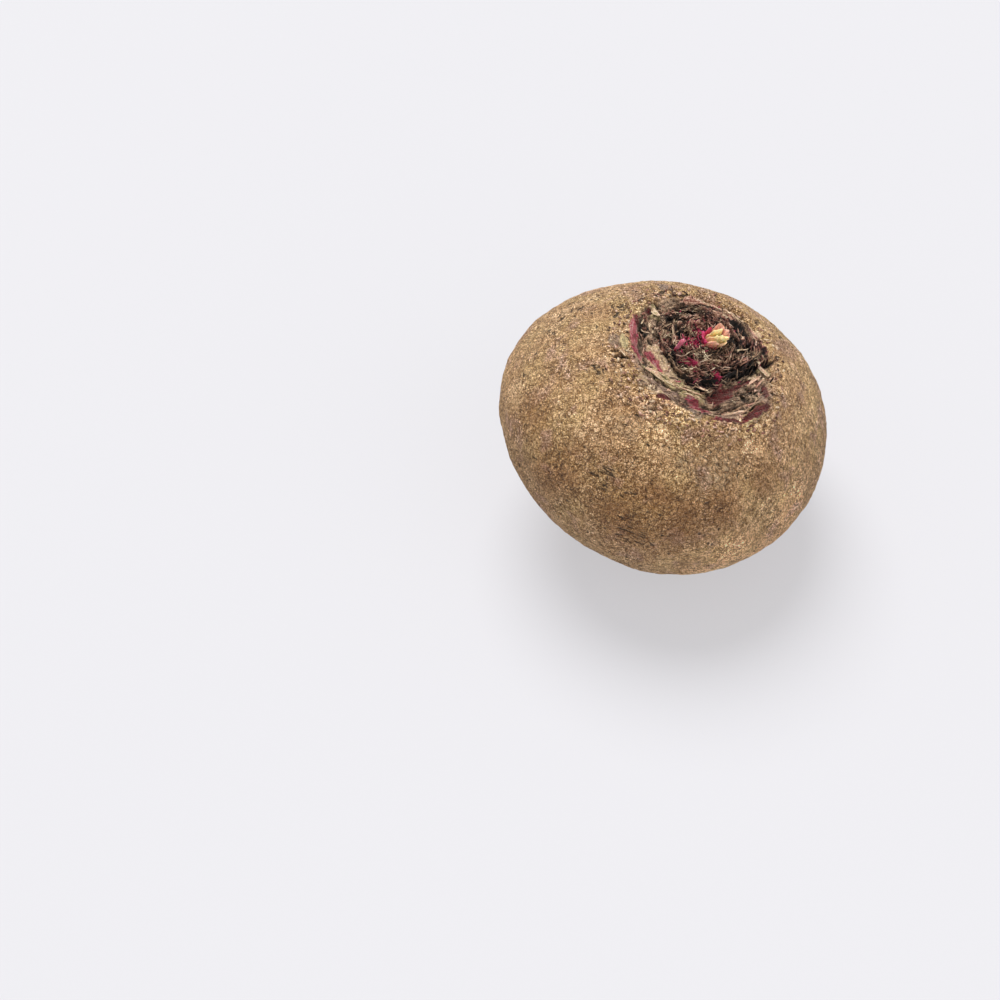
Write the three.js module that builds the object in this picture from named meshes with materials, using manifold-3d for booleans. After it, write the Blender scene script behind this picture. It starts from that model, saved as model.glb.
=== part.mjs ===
// A topped beetroot lying on its base: a squat, corky root, the pad of withered leaf-stalk stubs in the
// hollow of its crown, the young bud in the middle of the pad and one small side shoot.
// Lengths are in millimetres and +Z is up. Every piece is modelled in the root's own frame, whose +Z runs
// up the root's axis from the level where the root is widest. The exported group then leans that frame
// over, so that the root lies on a small flat spot on its belly and on the edge of its trimmed tail.
// The group's origin is on the surface it lies on, under the middle of its bounding box.

import * as THREE from "three";
import { mergeVertices } from "three/addons/utils/BufferGeometryUtils.js";
import Module from "manifold-3d";

const wasm = await Module();
wasm.setup();

// ---------------------------------------------------------------- driving dimensions

const GIRTH_RADIUS = 45; // mean radius at the widest level
const CROWN_RISE = 32.3; // from the widest level up to the crown
const BASE_DROP = 35.2; // from the widest level down to the base
const SHOULDER_SLOPE = 0.025; // how much slimmer than an ellipsoid the shoulder is
const LEAN_DEG = 17; // the root's axis leans this far from upright, towards +X
const FLAT_DEPTH = 0.35; // how deep the resting spot is pressed into the belly

// Slow swells round the root, as shares of its radius: how many to a turn, how high, and where they peak.
const SWELLS = [
  { waves: 1, height: 0.009, peakDeg: 99 },
  { waves: 2, height: 0.026, peakDeg: 28.5 },
  { waves: 3, height: 0.022, peakDeg: 46 },
];
// This one peaks at one bearing near the crown and a quarter turn further on near the base.
const TWIST_SWELL = { waves: 2, height: 0.0145, peakDeg: -14.4 };

const RIM_RADIUS = 21.2; // mean radius of the crown's hollow
const HOLLOW_DEPTH = 2.4; // how far the hollow lies below the shoulder's own line
const RIM_STEP = 3.2; // width of the step down into it
const COLLAR = { height: 0.75, width: 2.4, outside: 1.8 }; // corky swelling outside the rim

// Scars of the outermost leaves, lens-shaped swellings on the hollow's floor.
const LEAF_SCARS = [
  { azimuth: -134.8, radius: 20.1, length: 6.8, width: 2.6, height: 0.9 },
  { azimuth: -104, radius: 18.7, length: 8.4, width: 2.4, height: 1.0 },
  { azimuth: -57, radius: 19.3, length: 15, width: 7.6, height: 1.5 },
  { azimuth: 60, radius: 19.4, length: 9.0, width: 2.4, height: 0.8 },
  { azimuth: 118, radius: 17.4, length: 8.5, width: 2.4, height: 0.9 },
  { azimuth: -170, radius: 15.2, length: 20, width: 3.2, height: 1.2 },
];

const TAIL = { length: 3.0, radius: 4.3, flare: 1.5 }; // the trimmed taproot under the base

// The pad of withered leaf-stalk bases. It is oval, but for one side cut straight by a fresh tear.
const PAD = { x: 2.3, y: -0.4, radiusX: 15.4, radiusY: 16.8, thickness: 3.0, edge: 1.1, sunk: 2 };
const TEAR = { bearingDeg: -45.8, distance: 12 };

const STUBS = {
  count: 45,
  turnDeg: 137.508, // the angle between one leaf and the next
  innerRadius: 5.4,
  room: 6.4, // each leaf's room on the pad, as a square's area over pi
  innerWidth: 5.0,
  outerWidth: 9.4,
  thickness: 1.7,
  innerHeight: 2.3,
  outerHeight: 1.6,
  sunk: 2.4,
  seed: 11,
};

// The bud: blunt young leaves round a low core. open is how far each leans out for its length.
const BUD = { x: -0.25, y: -1.72, coreRadius: 2.5, coreHeight: 1.7, thickness: 1.1, sunk: 0.28 };
const BUD_LEAVES = [
  { bearing: -92, radius: 1.5, open: 0.3, length: 4.3, width: 3.5 },
  { bearing: -168, radius: 1.9, open: 0.6, length: 4.2, width: 2.8 },
  { bearing: 148, radius: 1.7, open: 0.4, length: 4.8, width: 2.6 },
  { bearing: 56, radius: 1.6, open: 0.42, length: 6.6, width: 3.0 },
  { bearing: 2, radius: 2.0, open: 0.5, length: 4.8, width: 2.4 },
  { bearing: 104, radius: 0.7, open: 0.12, length: 6.0, width: 3.4 },
  { bearing: -40, radius: 0.8, open: 0.16, length: 5.4, width: 3.0 },
];
const SHOOT = { x: -9.0, y: -4.8, height: 4.3, radius: 0.85, leanX: 0.9, leanY: 0.2, sunk: 1.2 };

const GAP = 0.3; // clear of a piece that another is bedded on

const SKIN = { color: 0xa98a5e, roughness: 0.85, metalness: 0 };
const WITHERED = { color: 0x3d2c22, roughness: 0.9, metalness: 0 };
const YOUNG = { color: 0xd9a07a, roughness: 0.5, metalness: 0 };
const PINK = { color: 0xc2456c, roughness: 0.5, metalness: 0 };

// ---------------------------------------------------------------- small helpers

const rad = THREE.MathUtils.degToRad;
const { clamp, lerp, smoothstep, seededRandom } = THREE.MathUtils;

// A swell's height at a bearing.
const swellAt = (swell, azimuth) => swell.height * Math.cos(swell.waves * (azimuth - rad(swell.peakDeg)));

// A closed surface of rings round a line, with one point at each end. pointAt(ring, share of a turn).
function ringedGeometry(rings, sides, first, last, pointAt) {
  const points = [first];
  for (let ring = 0; ring < rings; ring++)
    for (let side = 0; side < sides; side++) points.push(pointAt(ring, side / sides));
  points.push(last);
  const at = (ring, side) => 1 + ring * sides + (side % sides);
  const faces = [];
  for (let side = 0; side < sides; side++) faces.push(0, at(0, side), at(0, side + 1));
  for (let ring = 0; ring < rings - 1; ring++)
    for (let side = 0; side < sides; side++) {
      faces.push(at(ring, side), at(ring + 1, side), at(ring + 1, side + 1));
      faces.push(at(ring, side), at(ring + 1, side + 1), at(ring, side + 1));
    }
  const end = points.length - 1;
  for (let side = 0; side < sides; side++) faces.push(end, at(rings - 1, side + 1), at(rings - 1, side));
  const geometry = new THREE.BufferGeometry().setFromPoints(points);
  geometry.setIndex(faces);
  return geometry;
}

// A three.js geometry as a manifold-3d solid.
function solidFrom(geometry) {
  const bare = geometry.clone();
  bare.deleteAttribute("normal");
  bare.deleteAttribute("uv");
  const merged = mergeVertices(bare);
  return new wasm.Manifold(
    new wasm.Mesh({
      numProp: 3,
      vertProperties: merged.attributes.position.array,
      triVerts: new Uint32Array(merged.index.array),
    }),
  );
}

// A manifold-3d solid as a three.js geometry, without the scraps that cutting may leave.
function geometryFrom(solid) {
  const [largest] = solid.decompose().sort((a, b) => b.volume() - a.volume());
  const mesh = largest.getMesh();
  const geometry = new THREE.BufferGeometry();
  geometry.setAttribute("position", new THREE.BufferAttribute(mesh.vertProperties, 3));
  geometry.setIndex(new THREE.BufferAttribute(mesh.triVerts, 1));
  return geometry;
}

function namedMesh(name, solid, finish) {
  const flat = geometryFrom(solid).toNonIndexed();
  flat.computeVertexNormals();
  const mesh = new THREE.Mesh(flat, new THREE.MeshStandardMaterial(finish));
  mesh.name = name;
  return mesh;
}

// ---------------------------------------------------------------- the root

// The radius of the crown's hollow at a bearing: wider towards -Y, and a little oval.
function rimRadius(azimuth) {
  return RIM_RADIUS + 1.9 * Math.cos(azimuth + rad(95)) + 0.9 * Math.cos(2 * azimuth - rad(160));
}

// A leaf scar's lens-shaped swelling.
function scarHeight(scar, x, y) {
  const azimuth = rad(scar.azimuth);
  const outward = x * Math.cos(azimuth) + y * Math.sin(azimuth) - scar.radius;
  const along = -x * Math.sin(azimuth) + y * Math.cos(azimuth);
  const bowed = outward + (along * along) / (2 * scar.radius); // it curves round the crown
  const spread = (2 * along / scar.length) ** 2 + (2 * bowed / scar.width) ** 2;
  return scar.height * Math.exp(-(spread ** 2));
}

// How far the crown's surface lies above the plain shoulder line.
function crownRelief(x, y) {
  const radius = Math.hypot(x, y);
  const azimuth = Math.atan2(y, x);
  const rim = rimRadius(azimuth);
  const hollow = -HOLLOW_DEPTH * (1 - smoothstep(radius, rim - RIM_STEP, rim));
  const fromCollar = (radius - rim - COLLAR.outside) / COLLAR.width;
  const collar = COLLAR.height * (0.75 + 0.25 * Math.cos(5 * azimuth)) * Math.exp(-(fromCollar ** 2));
  const scars = LEAF_SCARS.reduce((sum, scar) => sum + scarHeight(scar, x, y), 0);
  return hollow + collar + scars;
}

// A point of the root's skin. polar runs from 0 at the crown to pi at the tail.
function skinPoint(polar, azimuth) {
  const up = Math.cos(polar);
  const out = Math.sin(polar);
  const swell = SWELLS.reduce((sum, s) => sum + swellAt(s, azimuth), up * swellAt(TWIST_SWELL, azimuth));
  const slim = up > 0 ? SHOULDER_SLOPE * Math.sin(2 * polar) : 0;
  const radius = GIRTH_RADIUS * out * (1 - slim + swell * out);
  const x = radius * Math.cos(azimuth);
  const y = radius * Math.sin(azimuth);
  if (up > 0) return new THREE.Vector3(x, y, CROWN_RISE * up + crownRelief(x, y));
  const tail = TAIL.length * (1 - smoothstep(radius, TAIL.radius - TAIL.flare, TAIL.radius + TAIL.flare));
  return new THREE.Vector3(x, y, BASE_DROP * up - tail);
}

// The rings' levels: close together on the crown and the tail, wider apart between them.
function ringLevels() {
  const polarOf = (radius) => Math.asin(radius / GIRTH_RADIUS);
  const levels = [3.5, 7.5].map(polarOf);
  for (let radius = 10.2; radius < 27; radius += 1.15) levels.push(polarOf(radius));
  const bodyStart = levels.at(-1);
  const bodyEnd = Math.PI - polarOf(7.4);
  const bodySteps = 25;
  for (let step = 1; step <= bodySteps; step++) levels.push(lerp(bodyStart, bodyEnd, step / bodySteps));
  for (const radius of [6.2, 5.4, 4.7, 4.0, 3.3, 1.8]) levels.push(Math.PI - polarOf(radius));
  return levels;
}

function rootSolid() {
  const levels = ringLevels();
  const sides = 84;
  const pointAt = (ring, turn) => skinPoint(levels[ring], 2 * Math.PI * turn);
  return solidFrom(ringedGeometry(levels.length, sides, skinPoint(0, 0), skinPoint(Math.PI, 0), pointAt));
}

// ---------------------------------------------------------------- the crown's pieces

const floorHeight = (x, y) =>
  CROWN_RISE * Math.sqrt(Math.max(0, 1 - (x * x + y * y) / GIRTH_RADIUS ** 2)) + crownRelief(x, y);

// How far a point lies inside the pad's outline, negative outside it.
function insidePad(x, y) {
  const tear = TEAR.distance - (x * Math.cos(rad(TEAR.bearingDeg)) + y * Math.sin(rad(TEAR.bearingDeg)));
  const share = Math.hypot((x - PAD.x) / PAD.radiusX, (y - PAD.y) / PAD.radiusY);
  return Math.min((1 - share) * PAD.radiusX, tear);
}

// The top of the pad, without its stubs.
function padHeight(x, y) {
  const rise = smoothstep(insidePad(x, y), 0, 9);
  return floorHeight(x, y) + lerp(PAD.edge, PAD.thickness, rise);
}

// The pad's outline at a bearing, found by stepping out from its middle.
function padReach(azimuth) {
  let reach = 5;
  while (insidePad(PAD.x + reach * Math.cos(azimuth), PAD.y + reach * Math.sin(azimuth)) > 0) reach += 0.05;
  return reach;
}

function padSolid() {
  const sides = 40;
  const shares = [0.3, 0.6, 0.85, 1]; // of the way out, on top
  const place = (share, azimuth, height) => {
    const x = PAD.x + share * padReach(azimuth) * Math.cos(azimuth);
    const y = PAD.y + share * padReach(azimuth) * Math.sin(azimuth);
    return new THREE.Vector3(x, y, height(x, y));
  };
  const under = (x, y) => floorHeight(x, y) - PAD.sunk;
  const pointAt = (ring, turn) =>
    ring < shares.length
      ? place(shares[ring], 2 * Math.PI * turn, padHeight)
      : place(shares.at(-1), 2 * Math.PI * turn, under);
  const top = place(0, 0, padHeight);
  const bottom = place(0, 0, under);
  return solidFrom(ringedGeometry(shares.length + 1, sides, top, bottom, pointAt));
}

// One withered leaf-stalk base: a crescent wall bowed round the bud, ragged along its torn top.
function stubSolid(width, height, lean, random) {
  const stations = 7;
  const loop = [
    { out: 0.5, up: 0 },
    { out: 0.5, up: 0.75 },
    { out: 0, up: 1 },
    { out: -0.5, up: 0.7 },
    { out: -0.5, up: 0 },
  ];
  const tears = Array.from({ length: stations }, () => 0.6 + 0.65 * random());
  const pointAt = (ring, turn) => {
    const across = lerp(-1, 1, (ring + 0.5) / stations);
    const corner = loop[Math.round(turn * loop.length)];
    const wall = STUBS.thickness * Math.sqrt(1 - 0.8 * across * across);
    const top = height * (1 - 0.45 * across * across) * tears[ring];
    const up = corner.up * (top + STUBS.sunk) - STUBS.sunk;
    const bow = -0.16 * width * across * across;
    return new THREE.Vector3(bow + wall * corner.out + lean * Math.max(0, up), (across * width) / 2, up);
  };
  const end = (side) => new THREE.Vector3(-0.19 * width, (side * width) / 2, -STUBS.sunk / 2);
  return solidFrom(ringedGeometry(stations, loop.length, end(-1), end(1), pointAt));
}

// All the stubs, each a leaf further along the spiral, as far as they stand on the pad.
function stubSolids() {
  seededRandom(STUBS.seed);
  const random = () => seededRandom();
  const stubs = [];
  for (let leaf = 0; leaf < STUBS.count; leaf++) {
    const radius = Math.sqrt(STUBS.innerRadius ** 2 + STUBS.room * leaf);
    const turnDeg = leaf * STUBS.turnDeg;
    const x = BUD.x + radius * Math.cos(rad(turnDeg));
    const y = BUD.y + radius * Math.sin(rad(turnDeg));
    const outward = clamp(radius / PAD.radiusX, 0, 1);
    const width = lerp(STUBS.innerWidth, STUBS.outerWidth, outward) * (0.85 + 0.3 * random());
    const height = lerp(STUBS.innerHeight, STUBS.outerHeight, outward) * (0.8 + 0.4 * random());
    const stub = stubSolid(width, height, lerp(0.1, 0.8, outward), random);
    const askewDeg = 14 * (random() - 0.5);
    if (insidePad(x, y) < 0.3) continue;
    stubs.push(stub.rotate([0, 0, turnDeg + askewDeg]).translate([x, y, padHeight(x, y) - 0.4]));
  }
  return stubs;
}

// A leaf of the bud: a blunt blade, broadest above its middle, that opens outwards.
function budLeafSolid(leaf) {
  const stations = 6;
  const sides = 8;
  const centre = (share) =>
    new THREE.Vector3(leaf.open * leaf.length * share ** 1.6, 0, leaf.length * (share - BUD.sunk));
  const pointAt = (ring, turn) => {
    const share = lerp(0.03, 0.97, ring / (stations - 1));
    const breadth = Math.sin(Math.PI * (0.2 + 0.62 * share)) ** 0.6;
    const angle = -2 * Math.PI * turn;
    const across = (leaf.width / 2) * breadth * Math.sin(angle);
    const through = (BUD.thickness / 2) * breadth * Math.cos(angle);
    return centre(share).add(new THREE.Vector3(through, across, 0));
  };
  const blade = solidFrom(ringedGeometry(stations, sides, centre(0), centre(1), pointAt));
  return blade.translate([leaf.radius, 0, 0]).rotate([0, 0, leaf.bearing]);
}

function budSolid() {
  const core = new THREE.SphereGeometry(1, 16, 10).rotateX(Math.PI / 2);
  core.scale(BUD.coreRadius, BUD.coreRadius, BUD.coreHeight);
  const leaves = BUD_LEAVES.map(budLeafSolid);
  return wasm.Manifold.union([solidFrom(core), ...leaves]).translate([BUD.x, BUD.y, padHeight(BUD.x, BUD.y)]);
}

// The side shoot: a short young stalk, snapped off, that stands up from the pad.
function shootSolid() {
  const height = SHOOT.height + SHOOT.sunk;
  const foot = new THREE.Vector3(SHOOT.x, SHOOT.y, padHeight(SHOOT.x, SHOOT.y) - SHOOT.sunk);
  const middle = foot.clone().add(new THREE.Vector3(0, 0, height / 2));
  const tip = foot.clone().add(new THREE.Vector3(SHOOT.leanX, SHOOT.leanY, height));
  const curve = new THREE.QuadraticBezierCurve3(foot, middle, tip);
  const section = new THREE.Shape().absellipse(0, 0, SHOOT.radius, SHOOT.radius * 0.75, 0, 2 * Math.PI);
  const settings = { steps: 6, curveSegments: 5, bevelEnabled: false, extrudePath: curve };
  return solidFrom(new THREE.ExtrudeGeometry(section, settings));
}

// ---------------------------------------------------------------- assembly

const beetroot = new THREE.Group();
beetroot.name = "beetroot";
beetroot.rotation.y = rad(LEAN_DEG);
beetroot.updateMatrixWorld(true);

// The belly's lowest point, with the tail left out, sets how high the root's centre stands.
function bellyDrop() {
  let lowest = 0;
  for (let polar = 1.6; polar < Math.PI - 0.3; polar += 0.01)
    for (let azimuth = -Math.PI; azimuth < Math.PI; azimuth += 0.02)
      lowest = Math.min(lowest, skinPoint(polar, azimuth).applyMatrix4(beetroot.matrixWorld).z);
  return -lowest;
}
beetroot.position.z = bellyDrop() - FLAT_DEPTH;
beetroot.updateMatrixWorld(true);

// The surface that the root lies on, in the root's frame, as a slab that cuts its resting spots flat.
function slabSolid() {
  const slab = new THREE.BoxGeometry(140, 140, 20).translate(0, 0, -10);
  return solidFrom(slab.applyMatrix4(beetroot.matrixWorld.clone().invert()));
}

const root = rootSolid().subtract(slabSolid());
const clearOf = (solid, bed) => solid.subtract(bed).subtract(bed.translate([0, 0, GAP]));
const pad = clearOf(wasm.Manifold.union([padSolid(), ...stubSolids()]), root);
const bud = clearOf(budSolid(), pad);
const shoot = clearOf(shootSolid(), pad);

beetroot.add(
  namedMesh("root", root, SKIN),
  namedMesh("leaf_stubs", pad, WITHERED),
  namedMesh("bud", bud, YOUNG),
  namedMesh("side_shoot", shoot, PINK),
);

// The origin goes under the middle of the bounding box.
const middle = new THREE.Box3().setFromObject(beetroot, true).getCenter(new THREE.Vector3());
beetroot.position.x -= middle.x;
beetroot.position.y -= middle.y;
beetroot.updateMatrixWorld(true);

export default beetroot;
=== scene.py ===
"""The looks of a topped beetroot: its corky skin, the torn crown, the pad of withered stalk bases, the young
bud, the side shoot and the hair roots on the tail. Shapes are worked out in millimetres in the root's own
frame, whose +Z runs up the root's axis, and are then leaned over to where the part's solids lie."""

import math
import random

import bmesh
import bpy
import numpy as np
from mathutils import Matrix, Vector


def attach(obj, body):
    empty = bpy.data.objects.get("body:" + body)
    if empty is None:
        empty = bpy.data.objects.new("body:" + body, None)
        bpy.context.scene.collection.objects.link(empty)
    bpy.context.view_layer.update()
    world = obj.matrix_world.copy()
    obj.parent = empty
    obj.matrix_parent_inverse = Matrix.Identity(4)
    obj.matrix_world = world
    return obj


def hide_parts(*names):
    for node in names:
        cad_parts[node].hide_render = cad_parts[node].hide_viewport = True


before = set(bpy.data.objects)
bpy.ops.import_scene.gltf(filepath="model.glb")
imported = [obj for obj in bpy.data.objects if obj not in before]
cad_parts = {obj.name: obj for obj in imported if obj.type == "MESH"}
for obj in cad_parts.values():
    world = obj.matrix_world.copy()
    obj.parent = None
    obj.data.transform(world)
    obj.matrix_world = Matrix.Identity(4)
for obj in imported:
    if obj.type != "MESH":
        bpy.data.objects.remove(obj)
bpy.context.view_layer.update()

# ---------------------------------------------------------------- sizes, in millimetres and degrees

MM = 0.001
SEAM = 0.000001  # in metres: points closer than this are merged
FULL_TURN = 2.0 * math.pi
LEAN = 17.0  # of the root's axis, towards +X
STAND = (0.8188, 0.1607, 35.7689)  # the own frame's origin, over the middle of the resting place

ROOT = {
    "Girth radius": 45.0,
    "Crown rise": 32.3,
    "Base drop": 35.2,
    "Shoulder slope": 0.025,
    "Rim radius": 21.2,
    "Hollow depth": 2.4,
    "Rim step": 3.2,
    "Collar height": 0.75,
    "Collar width": 2.4,
    "Collar offset": 1.8,
    "Tail length": 3.0,
    "Tail radius": 4.3,
    "Tail flare": 1.5,
}
# Slow swells round the root: waves to a turn, height as a share of the radius, bearing of the peak. The twist
# is added above the girth and taken away below it.
SWELLS = ((1, 0.009, 99.0), (2, 0.026, 28.5), (3, 0.022, 46.0))
TWIST = ((2, 0.0145, -14.4),)
RIM_SWELLS = ((1, 1.9, -95.0), (2, 0.9, 80.0))  # the same for the rim of the hollow, in millimetres
# Lens-shaped scars of outer leaves: bearing, distance from the axis, length, width, height.
LEAF_SCARS = (
    (-134.8, 20.1, 6.8, 2.6, 0.9),
    (-104.0, 18.7, 8.4, 2.4, 1.0),
    (-57.0, 19.3, 15.0, 7.6, 1.5),
    (60.0, 19.4, 9.0, 2.4, 0.8),
    (118.0, 17.4, 8.5, 2.4, 0.9),
    (-170.0, 15.2, 20.0, 3.2, 1.2),
)
PAD = {
    "Middle X": 2.3,
    "Middle Y": -0.4,
    "Radius X": 15.4,
    "Radius Y": 16.8,
    "Thickness": 3.0,
    "Edge": 1.1,
    "Tear bearing": math.radians(-45.8),
    "Tear distance": 12.0,
}
BUD_PLACE = (-0.25, -1.72)
SHOOT_PLACE = (-9.0, -4.8)
GOLDEN_TURN = 137.508
SHARP = 0.0001  # half the width of a change that is to be sudden
RING_REACH = 14.0  # distance from the axis at which patterns that run round it keep their size
HEALED_BEARING = 42.0  # where the skin has closed over the rim
FLAKY_BEARING = -150.0  # where the collar is broad and flaky
CRUMBLY_BEARING = -160.0  # where the most crumbs of cork lie


# ---------------------------------------------------------------- node trees written as expressions


class Wire:
    """An output of a node tree. Arithmetic on it adds Math nodes, and add() puts in any other node."""

    def __init__(self, tree, socket=None):
        self.tree = tree
        self.socket = socket

    def add(self, kind, settings=None, values=None, out=0):
        """An output of a new node in the same tree, with these properties and these inputs."""
        node = self.tree.nodes.new(kind)
        for name, value in (settings or {}).items():
            if name == "stops":
                lay_stops(node.color_ramp, value)
            else:
                setattr(node, name, value)
        for name, value in (values or {}).items():
            if isinstance(value, Wire):
                self.tree.links.new(value.socket, node.inputs[name])
            else:
                node.inputs[name].default_value = value
        return Wire(self.tree, node.outputs[out])

    def __add__(self, other):
        return maths("ADD", self, other)

    __radd__ = __add__

    def __sub__(self, other):
        return maths("SUBTRACT", self, other)

    def __rsub__(self, other):
        return maths("SUBTRACT", other, self)

    def __mul__(self, other):
        return maths("MULTIPLY", self, other)

    __rmul__ = __mul__

    def __truediv__(self, other):
        return maths("DIVIDE", self, other)

    def __rtruediv__(self, other):
        return maths("DIVIDE", other, self)

    def __pow__(self, other):
        return maths("POWER", self, other)

    def __neg__(self):
        return self * -1.0


def lay_stops(ramp, stops):
    """Gives a colour ramp these places and colours."""
    while len(ramp.elements) < len(stops):
        ramp.elements.new(0.5)
    for element, (place, colour) in zip(ramp.elements, stops):
        element.position = place
        element.color = (*colour, 1.0)


def first_wire(*values):
    """The first wire among wires and numbers, or None."""
    return next((v for v in values if isinstance(v, Wire)), None)


def maths(operation, *values):
    """A Math node over wires and numbers."""
    return first_wire(*values).add("ShaderNodeMath", {"operation": operation}, dict(enumerate(values)))


def either(operation, plain):
    """The same function for wires and for numbers."""

    def function(*values):
        return maths(operation, *values) if first_wire(*values) else plain(*values)

    return function


sine = either("SINE", np.sin)
cosine = either("COSINE", np.cos)
square_root = either("SQRT", np.sqrt)
exponent = either("EXPONENT", np.exp)
larger = either("MAXIMUM", np.maximum)
smaller = either("MINIMUM", np.minimum)
size_of = either("ABSOLUTE", np.abs)
bearing_of = either("ARCTAN2", np.arctan2)


def rise(value, low, high):
    """0 up to low, 1 from high on, and smooth between them."""
    if isinstance(value, Wire):
        settings = {"interpolation_type": "SMOOTHSTEP"}
        return value.add("ShaderNodeMapRange", settings, {"Value": value, "From Min": low, "From Max": high})
    share = np.clip((value - low) / (high - low), 0.0, 1.0)
    return share * share * (3.0 - 2.0 * share)


def blend(share, first, second):
    """first where share is 0, second where it is 1."""
    return first + (second - first) * share


def squared(value):
    """A value times itself."""
    return value * value


def bell(value):
    """1 at 0, falling smoothly to 0 on both sides."""
    return exponent(-squared(value))


def largest(values):
    """The largest of several wires."""
    most, *others = values
    for value in others:
        most = larger(most, value)
    return most


def distance_of(x, y):
    """From the axis to a point."""
    return square_root(x * x + y * y)


def spoke(radius, azimuth, middle=(0.0, 0.0)):
    """The point at this distance and bearing from a middle."""
    return radius * cosine(azimuth) + middle[0], radius * sine(azimuth) + middle[1]


def turned(x, y, angle):
    """A point turned about the origin."""
    c, s = cosine(angle), sine(angle)
    return x * c - y * s, x * s + y * c


def vector(x, y, z):
    """Three numbers as one vector wire."""
    return first_wire(x, y, z).add("ShaderNodeCombineXYZ", None, {"X": x, "Y": y, "Z": z})


def parts_of(place):
    """The three numbers of a vector wire."""
    return [place.add("ShaderNodeSeparateXYZ", None, {"Vector": place}, out) for out in range(3)]


def stretched(place, scale):
    """A vector times a number or three numbers."""
    scale = scale if hasattr(scale, "__len__") else (scale,) * 3
    return place.add("ShaderNodeVectorMath", {"operation": "MULTIPLY"}, {0: place, 1: scale})


def moved(place, by):
    """A vector plus three numbers or another vector."""
    return place.add("ShaderNodeVectorMath", {"operation": "ADD"}, {0: place, 1: by})


def in_lumps(place, size, offset, stretch=(1, 1, 1)):
    """A place counted in lumps of this size, and moved off so that no two patterns agree."""
    scale = [1.0 / (size * s) for s in stretch]
    return moved(stretched(place, scale), (offset, offset * 0.7, -offset))


def noise(place, size, detail=2.0, roughness=0.5, stretch=(1, 1, 1), offset=0.0):
    """Soft noise from about -1 to 1, with lumps of this size. stretch makes them longer that way."""
    spot = in_lumps(place, size, offset, stretch)
    values = {"Vector": spot, "Scale": 1.0, "Detail": detail, "Roughness": roughness}
    return (place.add("ShaderNodeTexNoise", None, values) - 0.5) * 2.0


def cells(place, size, offset=0.0, feature="F1", out=0):
    """How far the middle of the nearest cell of this size is (out 0), or its random colour (out 1)."""
    values = {"Vector": in_lumps(place, size, offset), "Scale": 1.0}
    return place.add("ShaderNodeTexVoronoi", {"feature": feature}, values, out)


def cell_edge(place, size, offset=0.0):
    """How far the nearest edge between these cells is."""
    return cells(place, size, offset, "DISTANCE_TO_EDGE")


def cell_chance(place, size, offset=0.0, part=0):
    """A random number from 0 to 1 for each of these cells. Each of the three parts gives another one."""
    return parts_of(cells(place, size, offset, out=1))[part]


def warped(place, size, reach, offset=0.0):
    """A place shifted about by soft noise, so that what reads it gets uneven edges."""
    spot = moved(stretched(place, 1.0 / size), (offset, -offset, offset * 0.6))
    values = {"Vector": spot, "Scale": 1.0, "Detail": 2.0, "Roughness": 0.6}
    shift = moved(place.add("ShaderNodeTexNoise", None, values, 1), (-0.5, -0.5, -0.5))
    return moved(place, stretched(shift, reach * 2.0))


def mixed(share, first, second, how="MIX"):
    """Two colours mixed."""
    settings = {"data_type": "RGBA", "blend_type": how, "clamp_factor": True}
    first, second = [c if isinstance(c, Wire) else (*c, 1.0) for c in (first, second)]
    return first_wire(share, first, second).add("ShaderNodeMix", settings, {0: share, 6: first, 7: second}, 2)


# ---------------------------------------------------------------- shape formulas, for wires and for numbers


def waved(azimuth, swells):
    """The height of these swells at a bearing, added up."""
    total = 0.0
    for waves, height, peak in swells:
        total = total + cosine((azimuth - math.radians(peak)) * waves) * height
    return total


def rim_radius(size, azimuth):
    """How far out the rim of the hollow lies. It is a little oval and off the axis."""
    return size["Rim radius"] + waved(azimuth, RIM_SWELLS)


def arc_spread(radius, azimuth, bearing, distance, length, width):
    """1 at the edge of a lens that is bent round the crown, less inside it, more outside it."""
    turn = azimuth - math.radians(bearing)
    along = sine(turn) * radius
    outward = cosine(turn) * radius - distance
    bowed = outward + along * along / (2.0 * distance)
    return squared(along * (2.0 / length)) + squared(bowed * (2.0 / width))


def lens_spread(x, y, middle_x, middle_y, heading, length, width):
    """1 at the edge of a lens lying on the crown, less inside it, more outside it."""
    along, across = turned(x - middle_x, y - middle_y, math.radians(-heading))
    return squared(along * (2.0 / length)) + squared(across * (2.0 / width))


def crown_relief(size, radius, azimuth):
    """What the crown adds to the ellipsoid: the hollow, the collar round it and the leaf scars."""
    rim = rim_radius(size, azimuth)
    hollow = size["Hollow depth"] * (rise(radius, rim - size["Rim step"], rim) - 1.0)
    from_collar = (radius - rim - size["Collar offset"]) / size["Collar width"]
    collar = size["Collar height"] * (cosine(azimuth * 5.0) * 0.25 + 0.75) * bell(from_collar)
    total = hollow + collar
    for bearing, distance, length, width, height in LEAF_SCARS:
        total = total + bell(arc_spread(radius, azimuth, bearing, distance, length, width)) * height
    return total


def crown_floor(size, radius, azimuth):
    """The smooth height of the crown, by distance and bearing."""
    dome = square_root(larger(1.0 - squared(radius / size["Girth radius"]), 0.0))
    return size["Crown rise"] * dome + crown_relief(size, radius, azimuth)


def crown_height(size, x, y):
    """The smooth height of the crown over a point."""
    return crown_floor(size, distance_of(x, y), bearing_of(y, x))


def tail_length(size, radius):
    """How far the trimmed tail stands out from the root."""
    low, high = size["Tail radius"] - size["Tail flare"], size["Tail radius"] + size["Tail flare"]
    return size["Tail length"] * (1.0 - rise(radius, low, high))


def inside_pad(pad, x, y):
    """How far a point lies inside the pad's outline."""
    tear = pad["Tear distance"] - x * cosine(pad["Tear bearing"]) - y * sine(pad["Tear bearing"])
    share = distance_of((x - pad["Middle X"]) / pad["Radius X"], (y - pad["Middle Y"]) / pad["Radius Y"])
    return smaller((1.0 - share) * pad["Radius X"], tear)


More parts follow.
